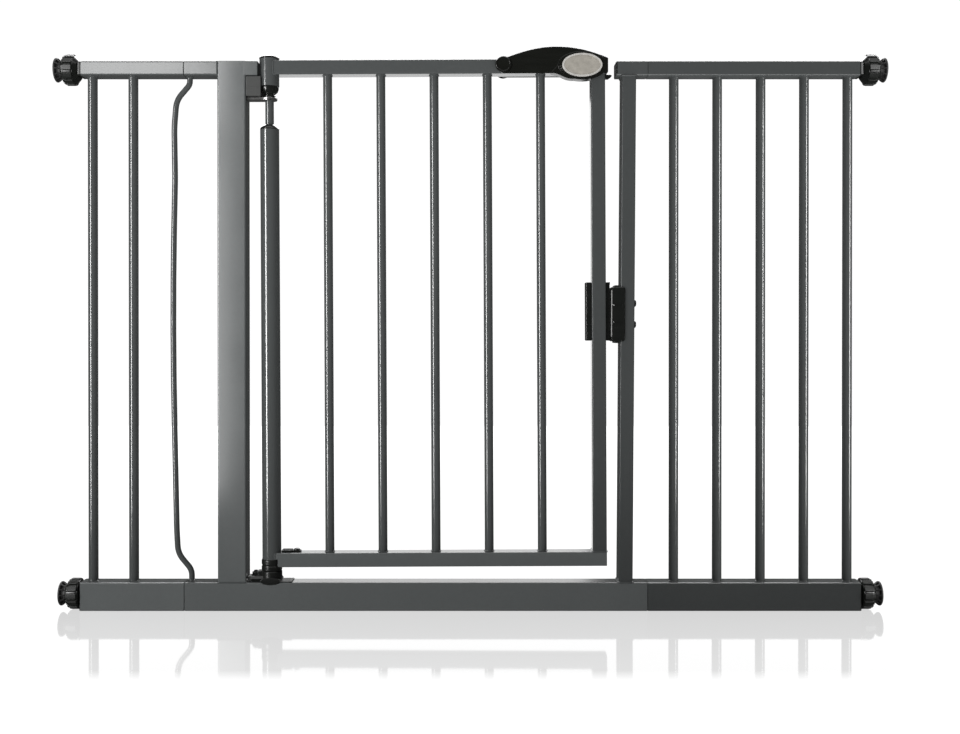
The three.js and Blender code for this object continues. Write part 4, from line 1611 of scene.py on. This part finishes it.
def housing(at):
    """The fixed shell over the rail that the lever closes on, round at the pivot."""
    pivot, end = at["pivot"], at["end"] - 0.8 * MM
    low, high = extent("handle_housing", HINGE)
    outline = [
        (pivot.x, low.z), (pivot.x + 20 * MM, low.z), (end, low.z), (end, high.z - 4.6 * MM),
        (end - 18 * MM, high.z), (pivot.x + 20 * MM, high.z),
    ] + round_end(at, at["boss"] - 0.9 * MM)
    bm = slab(outline, "y", -high.y, high.y, 0.8 * MM, 3)
    shell = set_solid("handle_housing_finished", bm, "lever")
    rail_low, rail_high = extent("leaf_top_rail", HINGE)
    fit = 0.3 * MM
    seat = block(
        (rail_low.x, rail_low.y - fit, low.z - 40 * MM),
        (rail_high.x + fit, rail_high.y + fit, rail_high.z + fit),
    )
    carved(shell, seat)
    shell.data.transform(HINGE)
    fitted(dressed(shell, sharp=30), "black_plastic", "handle_housing")


def badge_pieces(at):
    """The oval badge, blank, with its raised rim and the arcs moulded round its near end."""
    settings = bpy.context.scene.gate_handle
    badge, size = at["badge"], at["badge_size"]
    front, back = badge.y - size.y / 2, at["badge_back"] + 0.2 * MM
    centre = (badge.x, badge.z)
    wide, tall = size.x / 2, size.z / 2
    face = slab(
        ellipse(wide - settings.rim * 0.3, tall - settings.rim * 0.6, centre), "y",
        front + 0.5 * MM, back, 0.3 * MM, 2,
    )
    plate = dressed(set_solid("handle_badge_face", face, "badge", HINGE))
    fitted(plate, "badge_face", "handle_badge")
    ring = collar(
        ellipse(wide + settings.rim * 0.65, tall + settings.rim * 0.25, centre),
        ellipse(wide - settings.rim * 0.5, tall - settings.rim * 0.85, centre),
        "y", front - 0.2 * MM, back + 0.3 * MM, 0.6 * MM,
    )
    rim = dressed(set_solid("handle_badge_rim", ring, "rim", HINGE))
    added(rim, "handle_badge")
    arcs = []
    for number in range(settings.arcs):
        gap = settings.rim + (1.1 + 1.5 * number) * MM
        arc = []
        for step in range(13):
            turn = math.radians(172 + 46 * step / 12)
            across, up = (wide + gap) * math.cos(turn), (tall + 0.7 * gap) * math.sin(turn)
            arc.append(HINGE @ Vector((badge.x + across, -at["half"] - 0.35 * MM, badge.z + up)))
        arcs.append(arc)
    if arcs:
        ridges = grown(
            "handle_arcs", "sweep", "lever", paths(*arcs, closed=False),
            Radius=0.5 * MM, Sides=10, Step=1.5 * MM, Ripple=0.0, Wave=1.0,
        )
        added(ridges, "handle_lever")


def pivot_pin(at):
    """The broad-headed pin, its heads ringed by a raised rim."""
    reach = extent("handle_pivot_pin", HINGE)[1].y
    seat = at["high"].y + 0.3 * MM
    radius = at["boss"] + 0.9 * MM
    half = [
        (4 * MM, seat), (radius, seat), (radius, reach - 1.2 * MM), (radius - 1.3 * MM, reach),
        (radius - 2.2 * MM, reach), (radius - 2.8 * MM, reach - 0.9 * MM),
        (radius - 5.2 * MM, reach - 0.9 * MM), (0, reach - 0.5 * MM),
    ]
    profile = [(r, -h) for r, h in half[::-1]] + half
    bm = turned(eased(profile, 0.35 * MM))
    turn = Matrix.Translation(at["pivot"]) @ Matrix.Rotation(math.pi / 2, 4, "X")
    shifted(bm, turn)
    pin = dressed(set_solid("handle_pivot_pin_finished", bm, "lever", HINGE))
    fitted(pin, "black_plastic", "handle_pivot_pin")


def release_slide(low, high):
    """The thumb catch, with ribs across it."""
    base = rounded_slab(
        (high.x - low.x, high.y - low.y), 2.4 * MM, ((low.x + high.x) / 2, 0), "z",
        low.z, low.z + 1.7 * MM, 0.5 * MM,
    )
    plate = set_solid("release_slide_plate", base, "grip", HINGE)
    fitted(dressed(plate), "black_plastic", "release_slide")
    rib = rounded_slab(
        (2.2 * MM, high.y - low.y - 2 * MM), 1.05 * MM, (low.x + 3.6 * MM, 0), "z",
        low.z + 1.2 * MM, high.z, 0.7 * MM, 3,
    )
    ribs = grown(
        "release_slide_ribs", "row", "grip", rib, HINGE,
        Count=5, Stride=((high.x - low.x - 7.2 * MM) / 4, 0.0, 0.0),
    )
    added(ribs, "release_slide")


# ---------------------------------------------------------------- latch
def latch():
    low, high = extent("latch_bolt", HINGE)
    outline = [
        (low.x, low.z), (high.x - 5 * MM, low.z), (high.x, low.z + 3.8 * MM),
        (high.x - 2 * MM, high.z), (low.x, high.z),
    ]
    tongue = slab(eased(outline, 0.8 * MM, closed=True), "y", low.y, high.y, 0.6 * MM, 3)
    bolt = dressed(set_solid("latch_bolt_finished", tongue, "plastic", HINGE))
    fitted(bolt, "black_plastic", "latch_bolt")
    low, high = extent("latch_keeper")
    stub_low, stub_high = extent("right_stub_rail")
    face = rounded_slab(
        (high.y - low.y + 0.5 * MM, high.z - low.z - 1.2 * MM), 3 * MM,
        (0, (low.z + high.z) / 2 + 1.0 * MM), "x",
        low.x + 2.2 * MM, stub_low.x + 2.4 * MM, 1.3 * MM,
    )
    plug = rounded_slab(
        (high.y - low.y - 4 * MM, stub_high.z - stub_low.z - 4 * MM), MM,
        (0, (stub_low.z + stub_high.z) / 2), "x", stub_low.x, high.x, 0.5 * MM,
    )
    keeper = dressed(set_solid("latch_keeper_finished", together(face, plug), "plastic"))
    fitted(keeper, "black_plastic", "latch_keeper")


# ---------------------------------------------------------------- wall mounts
def rail_plug(level, side):
    """The plug in a rail's end: a rounded lip over a stem."""
    node = f"{level}_{side}_rail_plug"
    low, high = extent(node)
    sign = SIDES[side]
    rail = "top" if level == "upper" else "bottom"
    rail_low, rail_high = extent(f"{side}_extension_{rail}_rail")
    face = rail_high.x if sign > 0 else rail_low.x
    inner, outer = (low.x, high.x) if sign > 0 else (high.x, low.x)
    width, height = high.y - low.y, high.z - low.z
    centre = (low.z + high.z) / 2
    corner = bpy.context.scene.gate_tubes.corner
    lip_start, lip_end = sorted((face + sign * 0.25 * MM, outer))
    edge = min(0.9 * MM, (lip_end - lip_start) * 0.45)
    lip = rounded_slab((width, height), corner, (0, centre), "x", lip_start, lip_end, edge)
    stem_start, stem_end = sorted((inner, face + sign * 0.5 * MM))
    fit = 3.2 * MM
    stem = rounded_slab(
        (width - fit, height - fit), corner, (0, centre), "x",
        stem_start, stem_end, 0.6 * MM,
    )
    plug = dressed(set_solid(f"{node}_finished", together(lip, stem), "plastic"))
    fitted(plug, "black_plastic", node)


def handwheel(level, side):
    """The ribbed wheel: a flared skirt, a grooved drum, its grip blocks and the teeth between."""
    node = f"{level}_{side}_handwheel"
    place = mount_place(level, side)
    low, high = extent(node, place)
    radius = high.x
    end = high.z - 2.4 * MM
    start = end - 15.5 * MM
    drum = radius - 4.1 * MM
    profile = [
        (0, low.z), (radius * 0.6, low.z), (radius * 0.63, low.z + 0.5 * MM),
        (radius * 0.9, start - 0.3 * MM), (radius * 0.905, start + 0.9 * MM),
        (drum, start + 1.3 * MM), (drum, end - 0.8 * MM), (radius * 0.80, end),
        (radius * 0.735, high.z - 0.5 * MM), (radius * 0.70, high.z), (radius * 0.56, high.z),
        (radius * 0.53, high.z - MM), (radius * 0.36, high.z - MM),
        (radius * 0.34, high.z - 0.1 * MM), (0, high.z - 0.1 * MM),
    ]
    body = dressed(set_solid(f"{node}_drum", turned(eased(profile, 0.4 * MM)), "plastic", place))
    fitted(body, "black_plastic", node)
    count = bpy.context.scene.gate_mounts.grips
    reach = math.pi * radius / count
    step = radius - 1.6 * MM
    grip_outline = [
        (drum - 0.6 * MM, start + 0.4 * MM), (radius - 0.5 * MM, start + 0.4 * MM),
        (radius, start + 1.0 * MM), (radius, end - 3.4 * MM), (radius - 0.4 * MM, end - 3.0 * MM),
        (step, end - 2.8 * MM), (step, end - 0.5 * MM), (step - 0.5 * MM, end),
        (drum - 0.6 * MM, end),
    ]
    broad = 0.62 * reach
    grip = slab(eased(grip_outline, 0.3 * MM, True, 2), "y", -broad, broad, 0.6 * MM, 3)
    grips = grown(f"{node}_grips", "ring", "grip", grip, place, Count=count)
    added(grips, node)
    tooth_outline = [
        (drum - 0.6 * MM, start + 2.0 * MM), (drum + 1.3 * MM, start + 2.0 * MM),
        (drum + 1.9 * MM, start + 2.8 * MM), (drum + 1.9 * MM, end - 3.6 * MM),
        (drum + 0.5 * MM, end - 1.2 * MM), (drum - 0.6 * MM, end - 1.2 * MM),
    ]
    tooth = slab(tooth_outline, "y", -0.2 * reach, 0.2 * reach, 0.25 * MM, 2)
    half_pitch = Matrix.Rotation(math.pi / count, 4, "Z")
    shifted(tooth, half_pitch)
    teeth = grown(f"{node}_teeth", "ring", "grip", tooth, place, Count=count)
    added(teeth, node)


def spindle(level, side):
    """The threaded steel spindle, its thread running out at both ends."""
    node = f"{level}_{side}_spindle"
    place = mount_place(level, side)
    low, high = extent(node, place)
    radius, pitch, sides = high.x, 2 * MM, 20
    depth = bpy.context.scene.gate_mounts.thread_depth
    rows = int((high.z - low.z) / pitch * 6)
    loops = []
    for row in range(rows + 1):
        share = row / rows
        z = low.z + (high.z - low.z) * share
        run = min(1.0, (z - low.z) / (1.5 * pitch), (high.z - z) / (1.5 * pitch))
        loop = []
        for side_number in range(sides):
            turn = 2 * math.pi * side_number / sides
            phase = turn - 2 * math.pi * z / pitch
            r = radius - depth * (0.5 + 0.5 * math.cos(phase)) * run - 0.2 * MM * (1 - run)
            loop.append((r * math.cos(turn), r * math.sin(turn), z))
        loops.append(loop)
    screw = dressed(set_solid(f"{node}_finished", skinned(loops), "steel", place), sharp=70)
    fitted(screw, "bright_steel", node)


def wall_pad(level, side):
    """The rubber foot: a neck, radial webs behind a thin flange, and rings on its face."""
    node = f"{level}_{side}_wall_pad"
    place = mount_place(level, side)
    low, high = extent(node, place)
    radius = high.x
    neck = radius * 0.7
    profile = [
        (0, low.z + 0.1 * MM), (neck * 0.93, low.z + 0.1 * MM), (neck, low.z + 0.8 * MM),
        (neck, high.z - 3.2 * MM), (radius * 0.97, high.z - 2.4 * MM), (radius, high.z - 2.0 * MM),
        (radius, high.z - 0.5 * MM), (radius * 0.97, high.z), (radius * 0.86, high.z),
    ]
    for ring in range(3):
        inner = radius * (0.78 - 0.2 * ring)
        profile += [
            (inner + 0.9 * MM, high.z - 0.7 * MM), (inner, high.z - 0.7 * MM),
            (inner - 0.4 * MM, high.z - 0.05 * MM), (inner - 1.7 * MM, high.z - 0.05 * MM),
        ]
    profile.append((0, high.z - 0.05 * MM))
    foot = dressed(set_solid(f"{node}_foot", turned(eased(profile, 0.3 * MM)), "rubber", place))
    fitted(foot, "black_rubber", node)
    web_outline = [
        (neck - 0.8 * MM, low.z + 1.6 * MM), (neck + 0.6 * MM, low.z + 1.6 * MM),
        (radius - 0.6 * MM, high.z - 3.0 * MM), (radius - 0.6 * MM, high.z - 1.8 * MM),
        (neck - 0.8 * MM, high.z - 1.8 * MM),
    ]
    web = slab(web_outline, "y", -0.8 * MM, 0.8 * MM, 0.25 * MM, 2)
    webs = grown(f"{node}_webs", "ring", "rubber", web, place, Count=12)
    added(webs, node)


def wall_mounts():
    for level in LEVELS:
        for side in SIDES:
            rail_plug(level, side)
            handwheel(level, side)
            spindle(level, side)
            wall_pad(level, side)


# ---------------------------------------------------------------- studio
def floor():
    """A pale light table: softly lit from below, with a sheen near the gate that fades forward."""
    bm = bmesh.new()
    bmesh.ops.create_grid(bm, x_segments=1, y_segments=1, size=5)
    bmesh.ops.translate(bm, vec=(0, -1.85, 0), verts=bm.verts)
    mesh = bpy.data.meshes.new("studio_floor")
    bm.to_mesh(mesh)
    bm.free()
    table = linked("studio_floor", mesh)
    material, graph, where = blank_material("studio_floor")
    back = graph.add("ShaderNodeSeparateXYZ", {0: where}).outputs["Y"]
    matt_until, sheen_from, sheen_edge = -0.345, -0.300, -0.330
    reach = spread(graph, back, matt_until, sheen_from)
    near = graph.math("MULTIPLY", reach, spread(graph, back, sheen_edge, 0.0, 0.72, 0.94))
    white = (1, 1, 1, 1)
    matt = graph.add(
        "ShaderNodeBsdfPrincipled",
        {"Base Color": (0.15, 0.15, 0.15, 1), "Roughness": 0.9, "Specular IOR Level": 0.0,
         "Emission Color": white, "Emission Strength": 1.0},
    )
    sheen = graph.add(
        "ShaderNodeBsdfPrincipled",
        {"Base Color": (0.03, 0.03, 0.03, 1), "Roughness": 0.05, "IOR": 1.75,
         "Emission Color": white, "Emission Strength": 0.62},
    )
    both = graph.add("ShaderNodeMixShader", {0: near, 1: matt.outputs[0], 2: sheen.outputs[0]})
    graph.add("ShaderNodeOutputMaterial", {"Surface": both.outputs[0]})
    mesh.materials.append(material)
    table.visible_glossy = False
    return table


def surroundings():
    """White in view; a dim room for everything the light bounces off."""
    world = bpy.data.worlds.new("studio")
    bpy.context.scene.world = world
    world.use_nodes = True
    world.node_tree.nodes.clear()
    graph = Graph(world.node_tree)
    seen = graph.add("ShaderNodeLightPath").outputs["Is Camera Ray"]
    level = spread(graph, seen, 0.0, 1.0, bpy.context.scene.gate_studio.room, 1.04)
    backdrop = graph.add("ShaderNodeBackground", {"Color": (1, 1, 1, 1), "Strength": level})
    graph.add("ShaderNodeOutputWorld", {"Surface": backdrop.outputs[0]})


def pieces_named(*prefixes):
    return [
        entry for entry in bpy.context.scene.objects
        if entry.type == "MESH" and entry.name.startswith(prefixes)
    ]


def softbox(name, place, aim, size, brightness, receivers):
    """A rectangular softbox that faces a point and lights some pieces."""
    data = bpy.data.lights.new(name, "AREA")
    data.shape = "RECTANGLE"
    data.size, data.size_y = size
    data.energy = brightness * math.pi * size[0] * size[1]
    lamp = linked(name, data)
    lamp.location = place
    lamp.rotation_euler = (Vector(aim) - Vector(place)).to_track_quat("-Z", "Y").to_euler()
    lamp.visible_camera = False
    lit = bpy.data.collections.new(f"lit_by_{name}")
    for piece in receivers:
        lit.objects.link(piece)
    lamp.light_linking.receiver_collection = lit
    return lamp


def softboxes(table):
    """The softboxes, each with the pieces that it shapes."""
    settings = bpy.context.scene.gate_studio
    extension = pieces_named("right_extension", "upper_right", "lower_right")
    apart = {piece.name for piece in extension} | {table.name}
    gate = [piece for piece in pieces_named("") if piece.name not in apart]
    everything = gate + extension
    uprights = pieces_named("right_post", "right_stub", "latch_stile")
    rest = [piece for piece in gate if piece not in uprights]
    long_rails = pieces_named("right_extension_top", "right_extension_bottom")
    bars = [piece for piece in extension if piece not in long_rails]
    low_rails = pieces_named("frame_bottom", "leaf_bottom", "left_extension_bottom")
    glossy_rails = pieces_named(
        "leaf_top", "leaf_bottom", "frame_bottom", "latch_stile", "leaf_welds", "handle",
    )
    post = pieces_named("left_post")
    rails = pieces_named("left_extension_top", "left_stub", "left_post")
    ledges = pieces_named("left_extension_bottom", "right_extension_bottom")
    brow = pieces_named("right_extension_top", "right_stub")
    strips, tall = settings.strips, (0.5, 1.5)
    middle, beside = (0, 0, 0.5), (0.4, 0, 0.5)
    left, right = (-2.15, -1.85, 0.5), (2.65, -1.75, 0.5)
    softbox("overhead", (0, -0.5, 2.3), middle, (3.0, 1.6), settings.overhead, everything)
    softbox("left_strip", left, middle, tall, strips, rest)
    softbox("upright_strip", left, middle, tall, 0.4 * strips, uprights)
    softbox("right_strip", right, beside, tall, strips, bars)
    softbox("long_rail_strip", right, beside, tall, 0.22 * strips, long_rails)
    unmirrored = (
        softbox("low_strip", (0, -1.1, 0.02), (0, -1.1, 2), (2.4, 0.7), settings.low, everything),
        softbox("low_fill", (-0.9, -1.8, 0.1), (0, 0, 0), (0.8, 0.4), 30.0, low_rails),
    )
    for lamp in unmirrored:
        lamp.visible_glossy = False
    softbox("back_glow", (-0.2, 3.0, 0.4), (-0.2, 0, 0.4), (1.3, 1.8), 1.4, glossy_rails)
    softbox("back_card", (0, 2.2, 2.2), (0, 0, 0.4), (3.0, 1.4), 9.0, everything)
    away, height = 3.2, 1.6
    for name, x, y, strength in (
        ("behind", 0, 1, 1.18), ("ahead", 0, -1, 1.0), ("left", -1, 0, 1.0), ("right", 1, 0, 1.0),
    ):
        spot = (away * x, away * y, height)
        softbox(f"floor_glow_{name}", spot, (0, 0, height), (6.4, 3.2), strength, [table])
    softbox("post_card", (-1.14, -1.57, 0.42), (-0.34, 0, 0.42), (0.9, 1.0), 7.2, post)
    softbox("rail_card", (-0.98, -1.6, 1.15), (-0.45, 0, 0.76), (0.55, 0.4), 9.0, rails)
    softbox("ledge_card", (0, -0.52, 2.0), (0, -0.52, 0), (2.6, 0.22), 16.0, ledges)
    softbox("brow_card", (0.4, -0.16, 0.01), (0.4, -0.16, 1), (1.2, 0.2), 7.0, brow)
    for side, sign in SIDES.items():
        knobs = pieces_named(f"upper_{side}", f"lower_{side}")
        spot = (1.2 * sign, -1.45, 0.62)
        softbox(f"{side}_knob_card", spot, (0.56 * sign, 0, 0.45), (0.6, 1.5), 5.0, knobs)


def studio_camera():
    """A camera in front of the gate, a little above its middle and tipped slightly down."""
    settings = bpy.context.scene.gate_studio
    tip = math.radians(0.3)
    lens = bpy.data.cameras.new("studio_camera")
    lens.lens = settings.lens
    lens.sensor_width = 36
    lens.shift_y = -0.032
    lens.clip_start = 0.05
    camera = linked("studio_camera", lens)
    camera.location = (settings.eye_offset, -settings.distance, settings.eye_height)
    camera.rotation_euler = (math.pi / 2 - tip, 0, 0)
    bpy.context.scene.camera = camera


def studio():
    bpy.context.scene.view_settings.view_transform = "Standard"
    table = floor()
    surroundings()
    softboxes(table)
    studio_camera()


# ---------------------------------------------------------------- operators and panel
class Maker:
    """What every operator shares: it runs the functions that make its pieces."""

    makers = ()

    def execute(self, context):
        for make in self.makers:
            make()
        return {"FINISHED"}


class GATE_OT_square_tubes(Maker, bpy.types.Operator):
    """Rolled square tubes of the frame, the extensions and the leaf"""

    bl_idname = "gate.square_tubes"
    bl_label = "Square Tubes"
    makers = (square_tubes,)


class GATE_OT_round_bars(Maker, bpy.types.Operator):
    """Round bars of the leaf and of both extensions, welded at head and foot"""

    bl_idname = "gate.round_bars"
    bl_label = "Round Bars"
    makers = (round_bars,)


class GATE_OT_side_bar(Maker, bpy.types.Operator):
    """Slim bowed bar beside the hinge post"""

    bl_idname = "gate.side_bar"
    bl_label = "Side Bar"
    makers = (bowed_bar,)


class GATE_OT_welds(Maker, bpy.types.Operator):
    """Weld beads where rails meet posts, barrel and hinge tube"""

    bl_idname = "gate.welds"
    bl_label = "Weld Beads"
    makers = (weld_beads,)


class GATE_OT_upper_hinge(Maker, bpy.types.Operator):
    """Barrel, cam bush, eye plate, guard and rod at the top of the hinge line"""

    bl_idname = "gate.upper_hinge"
    bl_label = "Upper Hinge"
    makers = (upper_hinge,)


class GATE_OT_lower_hinge(Maker, bpy.types.Operator):
    """Hinge tube, closing spring, collar, cup, plate and spring adjuster"""

    bl_idname = "gate.lower_hinge"
    bl_label = "Lower Hinge"
    makers = (lower_hinge, adjuster)


class GATE_OT_stop(Maker, bpy.types.Operator):
    """Stop block on the latch post and the saddle it meets on the leaf"""

    bl_idname = "gate.stop"
    bl_label = "Stop"
    makers = (stop_fittings,)


class GATE_OT_handle(Maker, bpy.types.Operator):
    """Lever, housing, badge, pivot pin and thumb catch"""

    bl_idname = "gate.handle"
    bl_label = "Handle"
    makers = (handle,)


class GATE_OT_latch(Maker, bpy.types.Operator):
    """Latch tongue and the keeper it drops into"""

    bl_idname = "gate.latch"
    bl_label = "Latch"
    makers = (latch,)


class GATE_OT_wall_mounts(Maker, bpy.types.Operator):
    """Rail plugs, handwheels, threaded spindles and rubber feet at the four corners"""

    bl_idname = "gate.wall_mounts"
    bl_label = "Wall Mounts"
    makers = (wall_mounts,)


class GATE_OT_studio(Maker, bpy.types.Operator):
    """Floor, surroundings, lights and camera"""

    bl_idname = "gate.studio"
    bl_label = "Studio"
    makers = (studio,)


OPERATORS = (
    GATE_OT_square_tubes, GATE_OT_round_bars, GATE_OT_side_bar, GATE_OT_welds,
    GATE_OT_upper_hinge, GATE_OT_lower_hinge, GATE_OT_stop, GATE_OT_handle, GATE_OT_latch,
    GATE_OT_wall_mounts, GATE_OT_studio,
)
SETTINGS = {
    "gate_finish": GateFinishSettings, "gate_tubes": GateTubeSettings,
    "gate_handle": GateHandleSettings, "gate_mounts": GateMountSettings,
    "gate_studio": GateStudioSettings,
}


class GATE_PT_panel(bpy.types.Panel):
    """Lists the gate's settings and the pieces they shape"""

    bl_idname = "GATE_PT_panel"
    bl_label = "Safety Gate"
    bl_space_type = "VIEW_3D"
    bl_region_type = "UI"
    bl_category = "Gate"

    def draw(self, context):
        layout = self.layout
        for name, group_class in SETTINGS.items():
            box = layout.box()
            for key in group_class.__annotations__:
                box.prop(getattr(context.scene, name), key)
        for operator in OPERATORS:
            layout.operator(operator.bl_idname)


CLASSES = (*SETTINGS.values(), *OPERATORS, GATE_PT_panel)


def register():
    for entry in CLASSES:
        bpy.utils.register_class(entry)
    for name, group_class in SETTINGS.items():
        setattr(bpy.types.Scene, name, PointerProperty(type=group_class))


def unregister():
    for name in SETTINGS:
        delattr(bpy.types.Scene, name)
    for entry in reversed(CLASSES):
        bpy.utils.unregister_class(entry)


def main():
    register()
    for operator in OPERATORS:
        getattr(bpy.ops.gate, operator.bl_idname.split(".")[1])()


if __name__ == "__main__":
    main()
